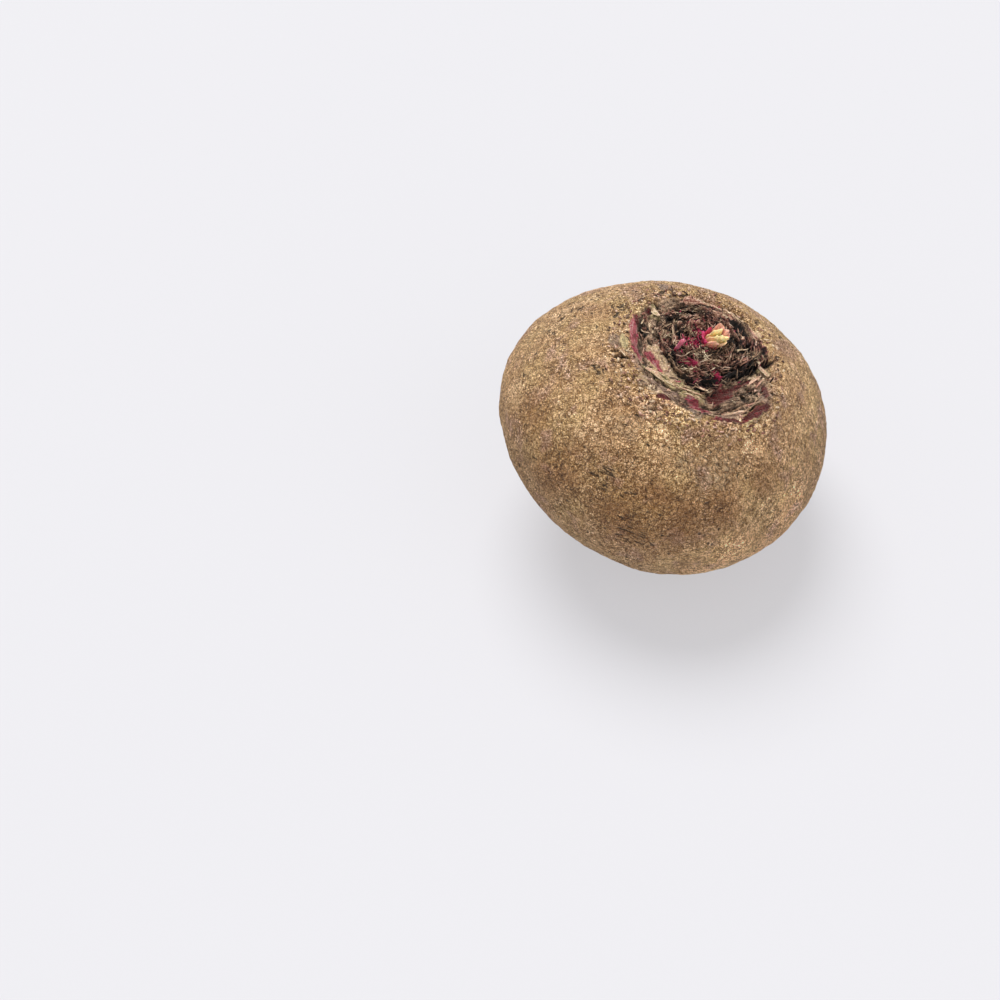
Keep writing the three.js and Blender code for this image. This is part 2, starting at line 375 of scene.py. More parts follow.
def pad_reach(pad, azimuth):
    """From the pad's middle to its outline."""
    oval = 1.0 / distance_of(cosine(azimuth) / pad["Radius X"], sine(azimuth) / pad["Radius Y"])
    facing_it = larger(cosine(azimuth - pad["Tear bearing"]), 0.05)
    start = pad["Middle X"] * cosine(pad["Tear bearing"]) + pad["Middle Y"] * sine(pad["Tear bearing"])
    return smaller(oval, (pad["Tear distance"] - start) / facing_it)


def pad_height(size, pad, x, y):
    """The smooth height of the pad over a point."""
    share = rise(inside_pad(pad, x, y), 0.0, 9.0)
    return crown_height(size, x, y) + blend(share, pad["Edge"], pad["Thickness"])


def leaned(x, y, z):
    """From the own frame in millimetres to the part's frame in metres."""
    east, height = turned(x, z, math.radians(-LEAN))
    return (east + STAND[0]) * MM, (y + STAND[1]) * MM, (height + STAND[2]) * MM


# ---------------------------------------------------------------- running a tree


def added(name, data):
    """A new object in the scene."""
    made = bpy.data.objects.new(name, data)
    bpy.context.scene.collection.objects.link(made)
    return made


def grown(name, sizes, build):
    """The plain mesh object that a Geometry Nodes tree makes. build(sizes as wires) returns its geometry."""
    tree = bpy.data.node_groups.new(name, "GeometryNodeTree")
    tree.is_modifier = True
    tree.interface.new_socket("Geometry", in_out="INPUT", socket_type="NodeSocketGeometry")
    tree.interface.new_socket("Geometry", in_out="OUTPUT", socket_type="NodeSocketGeometry")
    for label, value in sizes.items():
        kind = "NodeSocketInt" if isinstance(value, int) else "NodeSocketFloat"
        tree.interface.new_socket(label, in_out="INPUT", socket_type=kind)
    inputs = tree.nodes.new("NodeGroupInput")
    outputs = tree.nodes.new("NodeGroupOutput")
    wires = {label: Wire(tree, inputs.outputs[label]) for label in sizes}
    tree.links.new(build(wires).socket, outputs.inputs[0])

    holder = added(name + "_maker", bpy.data.meshes.new(name + "_maker"))
    modifier = holder.modifiers.new("shape", "NODES")
    modifier.node_group = tree
    for item in tree.interface.items_tree:
        if item.item_type == "SOCKET" and item.in_out == "INPUT" and item.name in sizes:
            modifier[item.identifier] = sizes[item.name]
    graph = bpy.context.evaluated_depsgraph_get()
    mesh = bpy.data.meshes.new_from_object(
        holder.evaluated_get(graph), preserve_all_data_layers=True, depsgraph=graph
    )
    mesh.name = name
    bpy.data.objects.remove(holder)
    return added(name, mesh)


VECTORS = ("place", "ring")  # what is stored as three numbers


def kept(geometry, **named):
    """Geometry with these values stored on its points."""
    for label, value in named.items():
        kind = "FLOAT_VECTOR" if label in VECTORS else "FLOAT"
        settings = {"data_type": kind, "domain": "POINT"}
        values = {"Geometry": geometry, "Name": label, "Value": value}
        geometry = geometry.add("GeometryNodeStoreNamedAttribute", settings, values)
    return geometry


def recalled(wire, *labels):
    """The numbers stored under these names: a list of them, or the one alone."""
    kind = {"data_type": "FLOAT"}
    found = [wire.add("GeometryNodeInputNamedAttribute", kind, {"Name": label}) for label in labels]
    return found if len(found) > 1 else found[0]


def finished(geometry, spot, keep, material):
    """Geometry put at a spot of the own frame with these values stored on it. Its seams and poles are merged,
    it is shaded smooth, realized and given its material."""
    east, north, height = leaned(*spot)
    spot = vector(east, north, larger(height, 0.0))
    geometry = kept(geometry, **keep)
    for kind, values in (
        ("GeometryNodeSetPosition", {"Position": spot}),
        ("GeometryNodeMergeByDistance", {"Distance": SEAM}),
        ("GeometryNodeRealizeInstances", {}),
        ("GeometryNodeSetShadeSmooth", {}),
        ("GeometryNodeSetMaterial", {"Material": material}),
    ):
        geometry = geometry.add(kind, None, {"Geometry": geometry, **values})
    return geometry


def sheet_of(wire, rows, columns):
    """A flat grid, and how far along it each point lies, from 0 to 1."""
    values = {"Size X": 1.0, "Size Y": 1.0, "Vertices X": rows, "Vertices Y": columns}
    grid = wire.add("GeometryNodeMeshGrid", None, values)
    across, along, _ = parts_of(wire.add("GeometryNodeInputPosition"))
    return grid, across + 0.5, along + 0.5


def stretch_of(share, start, end, first, last):
    """first up to start, last from end on, and even steps between them."""
    values = {"Value": share, "From Min": start, "From Max": end, "To Min": first, "To Max": last}
    return share.add("ShaderNodeMapRange", None, values)


def chance(size, low, high, salt):
    """An even random number for each point, the same in every run."""
    made = size["Seed"].add("FunctionNodeRandomValue", {"data_type": "FLOAT"}, None, 1)
    node = made.socket.node
    node.inputs[2].default_value, node.inputs[3].default_value = low, high
    made.tree.links.new((size["Seed"] + salt).socket, node.inputs["Seed"])
    return made


def scattered(size):
    """As many loose points as the sizes ask for."""
    return size["Seed"].add("GeometryNodePoints", None, {"Count": size["Count"]})


def repeated(points, shape):
    """The shape once for each point, realized."""
    copies = points.add("GeometryNodeInstanceOnPoints", None, {"Points": points, "Instance": shape})
    return points.add("GeometryNodeRealizeInstances", None, {"Geometry": copies})


def without(points, value, least):
    """The points without those where the value is less than this."""
    below = value.add("FunctionNodeCompare", {"operation": "LESS_THAN"}, {0: value, 1: least})
    return points.add("GeometryNodeDeleteGeometry", None, {"Geometry": points, "Selection": below})


# ---------------------------------------------------------------- materials

HONEY = (0.585, 0.405, 0.185)
TAN = (0.68, 0.475, 0.26)
OCHRE = (0.54, 0.345, 0.165)
ROSE_BROWN = (0.50, 0.315, 0.215)
BISTRE = (0.34, 0.20, 0.09)
CORK = (0.80, 0.62, 0.40)
UMBER = (0.19, 0.105, 0.05)
EARTH = (0.035, 0.014, 0.005)
STRAW = (0.80, 0.62, 0.32)
SCAR_PINK = (0.86, 0.60, 0.45)
PINK = (0.84, 0.45, 0.42)
MAGENTA = (0.68, 0.105, 0.155)
DEEP_MAGENTA = (0.19, 0.01, 0.025)
CRIMSON = (0.12, 0.003, 0.008)
BRIGHT_CRIMSON = (0.42, 0.035, 0.05)
BLACK_AND_SHADE = (0.014, 0.011, 0.010)
VIOLET_GREY = (0.42, 0.27, 0.26)
PLUM = (0.22, 0.06, 0.11)
PALE_MAUVE = (0.75, 0.68, 0.68)
ASH_GREY = (0.17, 0.155, 0.14)
TORN_TAN = (0.56, 0.37, 0.235)
TORN_BROWN = (0.25, 0.14, 0.09)
DEEP_FLESH = (0.22, 0.008, 0.03)
FLESH = (0.62, 0.05, 0.14)
BLUSH_RED = (0.62, 0.04, 0.15)
# What a colour is multiplied by where the skin is bare; where it is stained with earth and darkened as painted
# shade; and where it is pale with dust and lightened as painted light.
BARE, SOIL_AND_SHADE, DUST_AND_LIGHT = (1.0, 1.0, 1.0), (0.71, 0.61, 0.51), (1.46, 1.5, 1.58)
# For red, green and blue: how much more the light and dark specks differ, and how bright the skin is.
SPECKLE = ((1.25, 0.98), (1.56, 0.835), (2.0, 0.74))
# Withered stalk from dark to light, where it is brown and where it is rosy.
STALK_STEPS = (0.0, 0.28, 0.48, 0.66, 0.84, 1.0)
BROWN_STALK = (
    (0.010, 0.008, 0.007),
    (0.024, 0.015, 0.011),
    (0.115, 0.066, 0.040),
    (0.33, 0.20, 0.118),
    (0.64, 0.46, 0.29),
    (0.84, 0.70, 0.48),
)
ROSY_STALK = (
    (0.010, 0.006, 0.006),
    (0.032, 0.012, 0.010),
    (0.17, 0.058, 0.042),
    (0.42, 0.19, 0.13),
    (0.68, 0.40, 0.29),
    (0.84, 0.62, 0.48),
)
PLATE = 1.9  # width of a corky plate


def new_material(name, roughness, **constants):
    """A material, its shader and a wire to build on. constants are named like the shader's inputs."""
    material = bpy.data.materials.new(name)
    material.use_nodes = True
    shader = material.node_tree.nodes["Principled BSDF"]
    shader.inputs["Roughness"].default_value = roughness
    for label, value in constants.items():
        shader.inputs[label.replace("_", " ").title().replace("Ior", "IOR")].default_value = value
    return material, shader, Wire(material.node_tree)


def feed(wire, shader, label):
    """Links a wire to one of the shader's inputs."""
    wire.tree.links.new(wire.socket, shader.inputs[label])


def stored(wire, label):
    """A value stored on the mesh's points."""
    out = 1 if label in VECTORS else 2
    return wire.add("ShaderNodeAttribute", {"attribute_name": label}, None, out)


def bumped(wire, height, distance):
    """A normal for a relief, from its height as a share of a distance in millimetres."""
    return wire.add("ShaderNodeBump", None, {"Height": height, "Distance": distance * MM})


def lit_by(colour, light):
    """A colour made lighter or darker."""
    return mixed(1.0, colour, light, "MULTIPLY")


def plates(place, cracked):
    """How far the nearest crack between corky plates is, and how broken up the skin is here."""
    edge = cell_edge(warped(place, 1.2, 0.5, 3.0), PLATE, 5.0)
    return edge, rise(noise(place, 6.0, 2.0, offset=17.0) * 0.6 + cracked, 0.3, 0.62)


def slots(place, scuffed):
    """Short dark slots in the skin, closest together where it is scuffed."""
    shape = noise(warped(place, 3.0, 1.2, 25.0), 0.9, 1.0, stretch=(2.8, 2.8, 0.75), offset=23.0)
    return rise(shape + scuffed * 0.3, 0.42, 0.52)


def ground_colour(place, tint, patches):
    """The skin's colour under its specks: honey and ochre, rosier and paler in patches, browner low down,
    partly as painted shade.
    """
    wide = noise(place, 13.0, 2.0)
    # Browner towards the bottom, partly as painted shade.
    low = rise(parts_of(place)[2] + wide * 9.0, 14.0, -22.0)
    colour = mixed(rise(wide, -0.3, 0.15), HONEY, OCHRE)
    colour = mixed(rise(tint + patches * 0.3, 0.05, 0.4) * 0.8, colour, ROSE_BROWN)
    colour = mixed(rise(tint + patches * 0.2, -0.05, -0.45) * 0.7, colour, TAN)
    colour = mixed(rise(patches + wide * 0.6, 0.12, 0.6) * 0.45, colour, BISTRE)
    return mixed(low * 0.25, colour, BISTRE)


def skin_specks(place, fine, patches):
    """How light the skin is made by its curved strokes, grains, scales and pinpricks, and their relief."""
    swirl = noise(warped(place, 2.6, 1.6, 61.0), 1.5, 2.0, 0.55, (1.0, 1.0, 0.6), offset=62.0)
    shaken = warped(place, 0.8, 0.45)
    grain, seam = cell_chance(shaken, 0.62), rise(cell_edge(shaken, 0.62), 0.16, 0.03)
    curl = noise(warped(place, 1.4, 0.9, 71.0), 1.1, 1.0, offset=72.0)
    pale_stroke, dark_stroke = bell((curl - 0.16) * 8.0), bell((curl + 0.14) * 8.0)
    grit = noise(place, 0.21, 1.0, offset=57.0)
    # Small scales with dark cracks between them, clearest in some stretches.
    shifted = warped(place, 1.9, 0.9, 87.0)
    scale_tone, crack = cell_chance(shifted, 1.35, 11.0), rise(cell_edge(shifted, 1.35, 11.0), 0.1, 0.02)
    crack = crack * blend(rise(noise(place, 5.0, 2.0, offset=83.0), -0.3, 0.3), 0.4, 1.0)
    light = (grain - 0.5) * 0.4 + fine * 0.95 + grit * 1.3 + patches * 0.3 + swirl * 0.2
    light = light + (scale_tone - 0.5) * 0.2 - crack * 0.52
    light = light + pale_stroke * 0.16 - dark_stroke * 0.3 - seam * 0.25
    contrast = blend(rise(noise(place, 7.0, 2.0, offset=44.0), -0.35, 0.35), 0.8, 1.22)
    light = light * contrast - size_of(light) * 0.3 + 0.3
    relief = (grain - seam) * 0.4 - crack * 0.6 + fine * 0.4 + pale_stroke * 0.4 - dark_stroke * 0.5
    return light, relief + swirl * 0.8


def torn_over(colour, wire, tint, strands, mottle, fine):
    """The colours of the torn crown laid over the skin's, each where its own kind of area lies."""
    place = stored(wire, "place")
    fibrous = strands * 0.6 + fine * 0.5 + mottle * 0.6
    torn = mixed(rise(mottle + tint * 0.5, 0.25, -0.25), TORN_TAN, TORN_BROWN)
    colour = mixed(stored(wire, "hollow"), colour, lit_by(torn, larger(fibrous * 1.5 + 1.0, 0.1)))

    speckle = rise(noise(place, 0.55, 2.0, 0.6, offset=81.0), 0.18, 0.4)
    scar = lit_by(mixed(rise(mottle, -0.3, 0.5), TAN, SCAR_PINK), fibrous * 0.6 + 1.3)
    colour = mixed(stored(wire, "scar"), colour, mixed(speckle * 0.6, scar, UMBER))

    violet = lit_by(mixed(rise(mottle, -0.3, 0.4), VIOLET_GREY, ROSE_BROWN), fine * 0.5 + 1.0)
    violet = mixed(rise(fibrous, -0.25, -0.7), violet, PLUM)
    violet = mixed(rise(fibrous, 0.5, 0.8), violet, PALE_MAUVE)
    colour = mixed(stored(wire, "violet") * rise(mottle, -0.5, 0.3) * 0.75, colour, violet)

    grey = lit_by(mixed(rise(mottle, -0.2, 0.4), ASH_GREY, VIOLET_GREY), fine * 0.6 + 1.0)
    colour = mixed(stored(wire, "grey") * 0.55, colour, grey)
    straw = lit_by(STRAW, larger(strands * 1.4 + fine * 0.5 + 0.95, 0.2))
    colour = mixed(stored(wire, "straw"), colour, straw)

    veined = mottle + noise(place, 2.4, 2.0, offset=91.0) * 0.9 + strands * 1.2
    magenta = mixed(rise(veined, -0.55, 0.0), DEEP_MAGENTA, MAGENTA)
    colour = mixed(stored(wire, "magenta"), colour, mixed(rise(veined, 0.0, 0.5), magenta, PINK))

    streaked = fibrous + strands * 0.5
    crimson = mixed(rise(streaked, -0.1, 0.6), CRIMSON, BRIGHT_CRIMSON)
    colour = mixed(stored(wire, "crimson"), colour, mixed(rise(streaked, 0.8, 1.1), crimson, PINK))

    # Dark zones: near-black withered tissue, and painted shade in a gash and in thin lines beside the straw.
    colour = mixed(stored(wire, "dark"), colour, mixed(rise(fibrous, 0.1, 0.55), BLACK_AND_SHADE, TORN_TAN))
    # The gaps and pockets are painted near-black as shade.
    return mixed(stored(wire, "gap") * 0.8, colour, BLACK_AND_SHADE)


def skin_material():
    """The root's corky skin, and the torn crown on top of it."""
    material, shader, wire = new_material(
        "corky_skin",
        0.85,
        sheen_weight=0.24,
        sheen_roughness=0.5,
        sheen_tint=(1.0, 0.88, 0.7, 1.0),
        specular_ior_level=0.12,
    )
    place, ring = stored(wire, "place"), stored(wire, "ring")
    tint = noise(place, 8.0, 3.0, offset=31.0)
    patches = noise(place, 3.4, 3.0, 0.6, offset=7.0)
    fine = noise(place, 0.33, 2.0, 0.7, offset=5.0)
    strands = noise(ring, 0.30, 2.0, 0.65, stretch=(1.0, 8.0, 8.0))
    mottle = noise(place, 1.1, 3.0, 0.7, offset=2.0)
    # The dark specks are the reddest and the light ones the palest.
    light, relief = skin_specks(place, fine, patches)
    specks = vector(*[exponent(light * steep) * level for steep, level in SPECKLE])
    colour = lit_by(ground_colour(place, tint, patches), specks)
    # Stains darken the skin and dust pales it; these patches also hold painted shade and painted light.
    for label, shade in (("soiled", SOIL_AND_SHADE), ("dusted", DUST_AND_LIGHT)):
        share = rise(stored(wire, label) + patches * 0.2, 0.1, 0.9)
        colour = lit_by(colour, mixed(share, BARE, shade))
    # Corky plates where the skin has cracked.
    plate, broken = plates(place, stored(wire, "cracked"))
    plate_tone = cell_chance(warped(place, 1.2, 0.5, 3.0), PLATE, 5.0, part=1)
    colour = mixed(broken * rise(plate, 0.05, 0.3) * plate_tone * 0.4, colour, CORK)
    colour = mixed(rise(plate, 0.085, 0.02) * broken * 0.75, colour, UMBER)
    # Pits in some of the cells, and short dark slots.
    pit = rise(cells(place, 2.7, 3.0), 0.2, 0.09) * rise(cell_chance(place, 2.7, 3.0, part=2), 0.62, 0.72)
    dash = slots(place, stored(wire, "scuffed"))
    colour = mixed(larger(pit * 0.85, dash * 0.9), colour, EARTH)
    feed(torn_over(colour, wire, tint, strands, mottle, fine), shader, "Base Color")
    wet = larger(stored(wire, "magenta"), stored(wire, "crimson"))
    feed(blend(wet, 0.8, 0.3), shader, "Roughness")
    relief = relief - pit - dash * 0.8 + stored(wire, "hollow") * (strands + mottle * 0.6) + wet * fine
    feed(bumped(wire, relief - broken * rise(plate, 0.12, 0.02) * 0.6, 0.45), shader, "Normal")
    return material


def stalk_material():
    """Withered stalk bases: from near-black through brown to straw by the tone stored on each piece. On the pad
    and the stubs that tone also holds painted light and shade.
    """
    material, shader, wire = new_material(
        "withered_stalks",
        0.82,
        sheen_weight=0.05,
        sheen_roughness=0.5,
        coat_roughness=0.22,
        specular_ior_level=0.2,
    )
    place, ring = stored(wire, "place"), stored(wire, "ring")
    strands = noise(ring, 0.28, 2.0, 0.65, stretch=(1.0, 8.0, 8.0))
    mottle = noise(place, 1.3, 3.0, 0.7, offset=5.0)
    fine = noise(place, 0.3, 2.0, 0.7, offset=9.0)
    red = rise(noise(place, 4.0, 2.0, offset=40.0) + mottle * 0.3, -0.18, 0.3)
    lit = stored(wire, "tone") + strands * 0.5 + mottle * 0.42 + fine * 0.34
    brown, rosy = [
        wire.add("ShaderNodeValToRGB", {"stops": list(zip(STALK_STEPS, tones))}, {"Fac": lit})
        for tones in (BROWN_STALK, ROSY_STALK)
    ]
    flesh = stored(wire, "flesh") * rise(strands + fine * 0.6, -0.7, -0.1)
    fleshy = mixed(rise(strands + mottle, -0.4, 0.4), DEEP_FLESH, FLESH)
    feed(mixed(flesh, mixed(red, brown, rosy), fleshy), shader, "Base Color")
    feed(blend(flesh, 0.82, 0.34), shader, "Roughness")
    feed(rise(noise(place, 0.7, 2.0, 0.6, offset=77.0), 0.16, 0.34), shader, "Coat Weight")
    feed(bumped(wire, strands + fine * 0.7, 0.12), shader, "Normal")
    return material


def young_material(name, pale, mid, deep):
    """Fresh tissue: deep at its foot, paler towards its edge, with fine veins along it."""
    material, shader, wire = new_material(
        name, 0.42, subsurface_weight=0.25, subsurface_scale=0.0008, coat_weight=0.1, coat_roughness=0.3
    )
    place, share, blush = stored(wire, "place"), stored(wire, "share"), stored(wire, "blush")
    mottle = noise(place, 0.9, 3.0, 0.6)
    veins = noise(place, 0.35, 2.0, 0.6, stretch=(1.0, 1.0, 4.0), offset=4.0)
    lit = share + mottle * 0.25 + veins * 0.18
    flushed = mixed(rise(lit, 0.35, 1.05), deep, mid)
    fresh = mixed(rise(lit, 0.15, 0.45), deep, pale)
    bright = mixed(rise(lit, 0.3, 1.1), deep, BLUSH_RED)
    colour = mixed(rise(blush + mottle * 0.25, 0.2, 0.6), fresh, flushed)
    colour = mixed(rise(blush + mottle * 0.1, 0.8, 0.95), colour, bright)
    feed(lit_by(colour, veins * 0.4 + mottle * 0.2 + 1.0), shader, "Base Color")
    feed(bumped(wire, veins + mottle * 0.5, 0.1), shader, "Normal")
    return material


# ---------------------------------------------------------------- the root

# The skin's rows: the radius that the fine ones reach round the crown and the tail, and their share of all.
CROWN_ROWS, TAIL_ROWS = (26.5, 0.06), (9.0, 0.08)
# The shell that carries the torn crown. Its hidden middle lies under the pad, and its edge dives into the skin.
# Under it the skin is sunk, and the shell's own underside lies a little deeper still.
CAP = {
    "reach": 29.5,
    "hidden": 11.5,
    "edge": 1.6,
    "dive": 0.9,
    "sunk": 3.0,
    "skin slope": 2.5,
    "shell slope": 3.0,
    "deeper": 1.1,
}

# What torn leaves have left on the crown, as lenses: x, y, heading, length, width. The dark lenses are partly
# painted shade, in a gash and beside the straw.
ZONES = {
    "magenta": (
        (-19.7, -0.2, -90.0, 12.5, 2.5),
        (-19.0, -5.7, -76.0, 6.6, 2.6),
        (-15.8, -6.2, -57.0, 4.6, 1.1),
        (-13.9, -9.0, -57.0, 6.4, 1.2),
        (-3.7, -19.5, -31.0, 4.8, 1.7),
        (-0.9, -21.0, -20.0, 5.6, 1.6),
        (2.9, -23.6, -4.0, 2.9, 1.2),
        (4.4, 17.5, -6.0, 3.5, 1.3),
    ),
    "crimson": (
        (-15.3, 9.4, 35.0, 2.6, 1.6),
        (-19.0, 5.0, -80.0, 3.4, 1.6),
        (2.9, -15.9, 28.0, 8.0, 4.3),
        (7.4, -12.1, 40.0, 8.0, 1.2),
        (11.2, -8.9, 41.0, 4.2, 1.2),
        (12.9, -19.4, 44.0, 12.0, 1.9),
        (16.3, -10.3, -92.0, 6.0, 1.5),
        (-12.1, -20.1, -11.0, 3.8, 1.8),
        (5.1, -23.7, 8.0, 9.0, 1.0),
        (-1.7, 17.9, 4.0, 3.3, 1.2),
    ),
    "straw": (
        (-13.6, -12.7, -34.0, 9.0, 2.5),
        (-10.0, -15.1, -32.0, 3.6, 1.5),
        (-4.4, -16.1, -12.0, 9.8, 2.4),
        (-4.2, -18.3, -12.0, 7.0, 1.3),
        (-13.5, 9.4, -80.0, 5.2, 2.6),
        (-22.4, -3.9, -80.0, 5.6, 1.7),
        (15.9, -3.3, -18.0, 4.6, 1.8),
        (12.8, -20.5, 46.0, 8.6, 1.0),
    ),
    "scar": (
        (-12.8, -8.4, -57.0, 10.6, 4.8),
        (-12.4, -7.4, -45.0, 7.6, 5.6),
        (-9.1, -13.2, -37.0, 6.0, 2.6),
        (-14.8, -17.4, -28.0, 9.4, 3.2),
        (12.9, -7.8, 51.0, 6.4, 2.0),
        (2.8, 15.8, 172.0, 14.0, 2.4),
        (13.5, 11.0, -45.0, 9.0, 2.0),
    ),
    "violet": (
        (-14.2, -16.5, -15.0, 8.4, 3.2),
        (-10.0, -17.8, -18.0, 4.6, 2.2),
        (15.6, -12.1, -91.0, 8.6, 2.6),
        (6.3, -22.0, 24.0, 7.0, 3.2),
        (-19.3, -11.1, -69.0, 4.6, 1.8),
    ),
    "dark": (
        (-16.8, 3.0, -82.0, 6.4, 2.3),
        (-15.6, -2.6, -73.0, 2.4, 1.0),
        (-13.3, -13.9, -34.0, 9.0, 0.6),
        (-4.9, -17.2, -11.0, 8.0, 0.6),
        (9.4, -6.6, 41.0, 14.0, 2.2),
        (16.7, -0.6, 26.0, 7.2, 1.5),
        (-2.0, -14.6, -8.0, 7.0, 2.4),
        (12.0, -11.9, -37.0, 3.4, 2.2),
        (9.7, -15.3, -19.0, 3.4, 2.2),
        (4.8, 13.0, -15.0, 6.0, 1.7),
        (15.8, -10.9, -90.0, 6.3, 0.7),
        (12.0, -18.4, 44.0, 5.0, 0.6),
        (-23.0, -8.5, -24.0, 4.2, 1.1),
        (-24.6, -6.0, -30.0, 1.9, 1.0),
        (-14.0, 12.3, 12.0, 3.9, 1.0),
        (-4.0, 16.0, 5.0, 8.0, 0.8),
        (10.5, 13.4, -42.0, 7.0, 0.9),
    ),
    "grey": (
        (-24.4, -2.8, -71.0, 5.1, 3.0),
        (-10.2, 21.3, -98.0, 4.9, 2.5),
        (-4.3, -22.0, -56.0, 7.0, 2.6),
        (-21.9, -20.2, -25.0, 2.8, 2.0),
    ),
}
# Where the skin is cracked into plates, and where it is scuffed with dark slots: x, y, z, reach.
CRACKED = (
    (3.1, -34.9, 20.2, 7.0),
    (-3.3, -34.3, 20.7, 4.0),
    (-14.5, -25.2, 24.6, 5.0),
    (-20.0, -27.5, 21.0, 4.0),
    (24.0, 24.0, 18.0, 9.0),
    (-12.0, 36.0, 8.0, 8.0),
)
SCUFFED = (
    (-34.0, 12.6, 19.1, 4.5),
    (-23.4, 8.8, 26.8, 5.0),
    (-23.8, -35.4, 10.3, 4.5),
    (-11.4, -43.5, -1.4, 6.5),
    (-6.0, -39.5, -16.3, 6.0),
    (35.8, -25.5, 7.0, 4.0),
    (22.2, 16.5, 25.4, 5.0),
    (-11.0, 17.0, 28.9, 5.0),
    (-27.9, -11.3, 24.0, 3.0),
    (20.0, 34.0, -14.0, 8.0),
    (-38.0, 14.0, -12.0, 7.0),
)
# Where earth has stained the skin and shade is painted on it: x, y, z, reach.
SOILED_AND_SHADED = (
    (-15.0, -42.0, 5.0, 13.0),
    (-3.0, -43.0, 9.0, 10.0),
    (-33.0, -30.0, 4.0, 10.0),
    (-39.2, -16.0, 7.0, 7.0),
    (-10.0, -41.0, 10.0, 8.0),
    (19.3, -32.0, 18.0, 6.0),
    (8.0, -40.0, 12.0, 6.0),
    (-40.0, 14.0, -8.0, 9.0),
    (18.0, 40.0, -4.0, 11.0),
    (40.0, 10.0, -16.0, 9.0),
)
# Where the skin is pale with dust and lightened as painted light: x, y, z, reach.
DUSTED_AND_LIT = (
    (-14.0, -25.0, 24.5, 6.5),
    (-8.0, -22.6, 27.4, 5.5),
    (-12.0, -21.6, 27.0, 8.0),
    (8.0, -21.6, 27.8, 6.0),
    (14.0, -24.0, 25.0, 5.0),
    (31.0, -29.4, 8.0, 8.0),
    (16.0, -42.0, -2.0, 8.0),
    (32.0, -34.0, -8.0, 13.0),
    (14.0, -40.0, -16.0, 9.0),
    (-20.0, 34.0, 12.0, 12.0),
    (2.0, 43.0, -8.0, 8.0),
)


def facing(azimuth, bearing):
    """1 at this bearing, 0 across from it."""
    return cosine(azimuth - math.radians(bearing)) * 0.5 + 0.5


def torn_edge(size, azimuth):
    """How far out the torn part of the crown reaches."""
    return rim_radius(size, azimuth) - squared(facing(azimuth, HEALED_BEARING)) * 3.4


def ring_place(radius, azimuth):
    """Coordinates for patterns that run round the crown."""
    return vector(radius, *spoke(RING_REACH, azimuth))


def zone_values(zones, place):
    """How much each kind of zone covers a point, from 0 to 1. Their edges are torn."""
    x, y, _ = parts_of(warped(place, 1.5, 0.9, 13.0))
    fine = noise(place, 0.6, 3.0, 0.75, offset=19.0) * 0.6
    return {
        zone: largest([rise(lens_spread(x, y, *lens) + fine, 1.35, 0.8) for lens in lenses])
        for zone, lenses in zones.items()
    }


def nearness(place, spots):
    """1 at the middle of any of these spots, fading out beyond their reach."""
    shares = []
    for x, y, z, reach in spots:
        values = {0: place, 1: (x, y, z)}
        away = place.add("ShaderNodeVectorMath", {"operation": "DISTANCE"}, values, 1)
        shares.append(bell(away / reach))
    return largest(shares)


def collar_share(size, radius, azimuth):
    """How much of the flaky collar lies at a point, from 0 to 1."""
    outside = radius - torn_edge(size, azimuth)
    breadth = blend(facing(azimuth, FLAKY_BEARING), 0.5, 1.0)
    return rise(outside, -0.6, 0.6) * (1.0 - rise(outside, 2.5, 7.5)) * breadth


def skin_relief(size, place, radius, azimuth, upper):
    """The skin's own unevenness, outwards, in millimetres, and what is stored with it."""
    collar = collar_share(size, radius, azimuth) * upper
    cracked, scuffed = nearness(place, CRACKED), nearness(place, SCUFFED)
    lumps = noise(place, 10.0, 2.0) * 0.5 + noise(place, 3.4, 2.0, offset=9.0) * 0.28
    fine = noise(place, 1.2, 3.0, 0.65, offset=4.0) * 0.22
    ring = ring_place(radius, azimuth)
    folds = noise(ring, 1.4, 3.0, 0.6, stretch=(1.0, 3.2, 3.2)) * 0.7
    rough = noise(place, 1.0, 3.0, 0.75, offset=14.0) * 0.5
    flakes = cell_chance(warped(place, 0.9, 0.5, 6.0), 1.5, 8.0) * 0.6
    plate, broken = plates(place, cracked)
    cracks = rise(plate, 0.2, 0.0) * broken * 0.2
    relief = lumps - 0.15 + fine + (folds + rough + flakes - 0.3) * collar - cracks
    keep = {"place": place, "ring": ring, "cracked": cracked, "scuffed": scuffed}
    keep.update(soiled=nearness(place, SOILED_AND_SHADED), dusted=nearness(place, DUSTED_AND_LIT))
    return relief - slots(place, scuffed) * 0.2, keep


def pushed_out(size, x, y, z, reach, azimuth, out, up, drop):
    """A point of the root moved outwards. out and up are its place on the ellipsoid, whose height is drop."""
    right, back = spoke(out, azimuth)
    slope = vector(right / size["Girth radius"], back / size["Girth radius"], up / drop)
    ways = parts_of(slope.add("ShaderNodeVectorMath", {"operation": "NORMALIZE"}, {0: slope}))
    return [start + way * reach for start, way in zip((x, y, z), ways)]


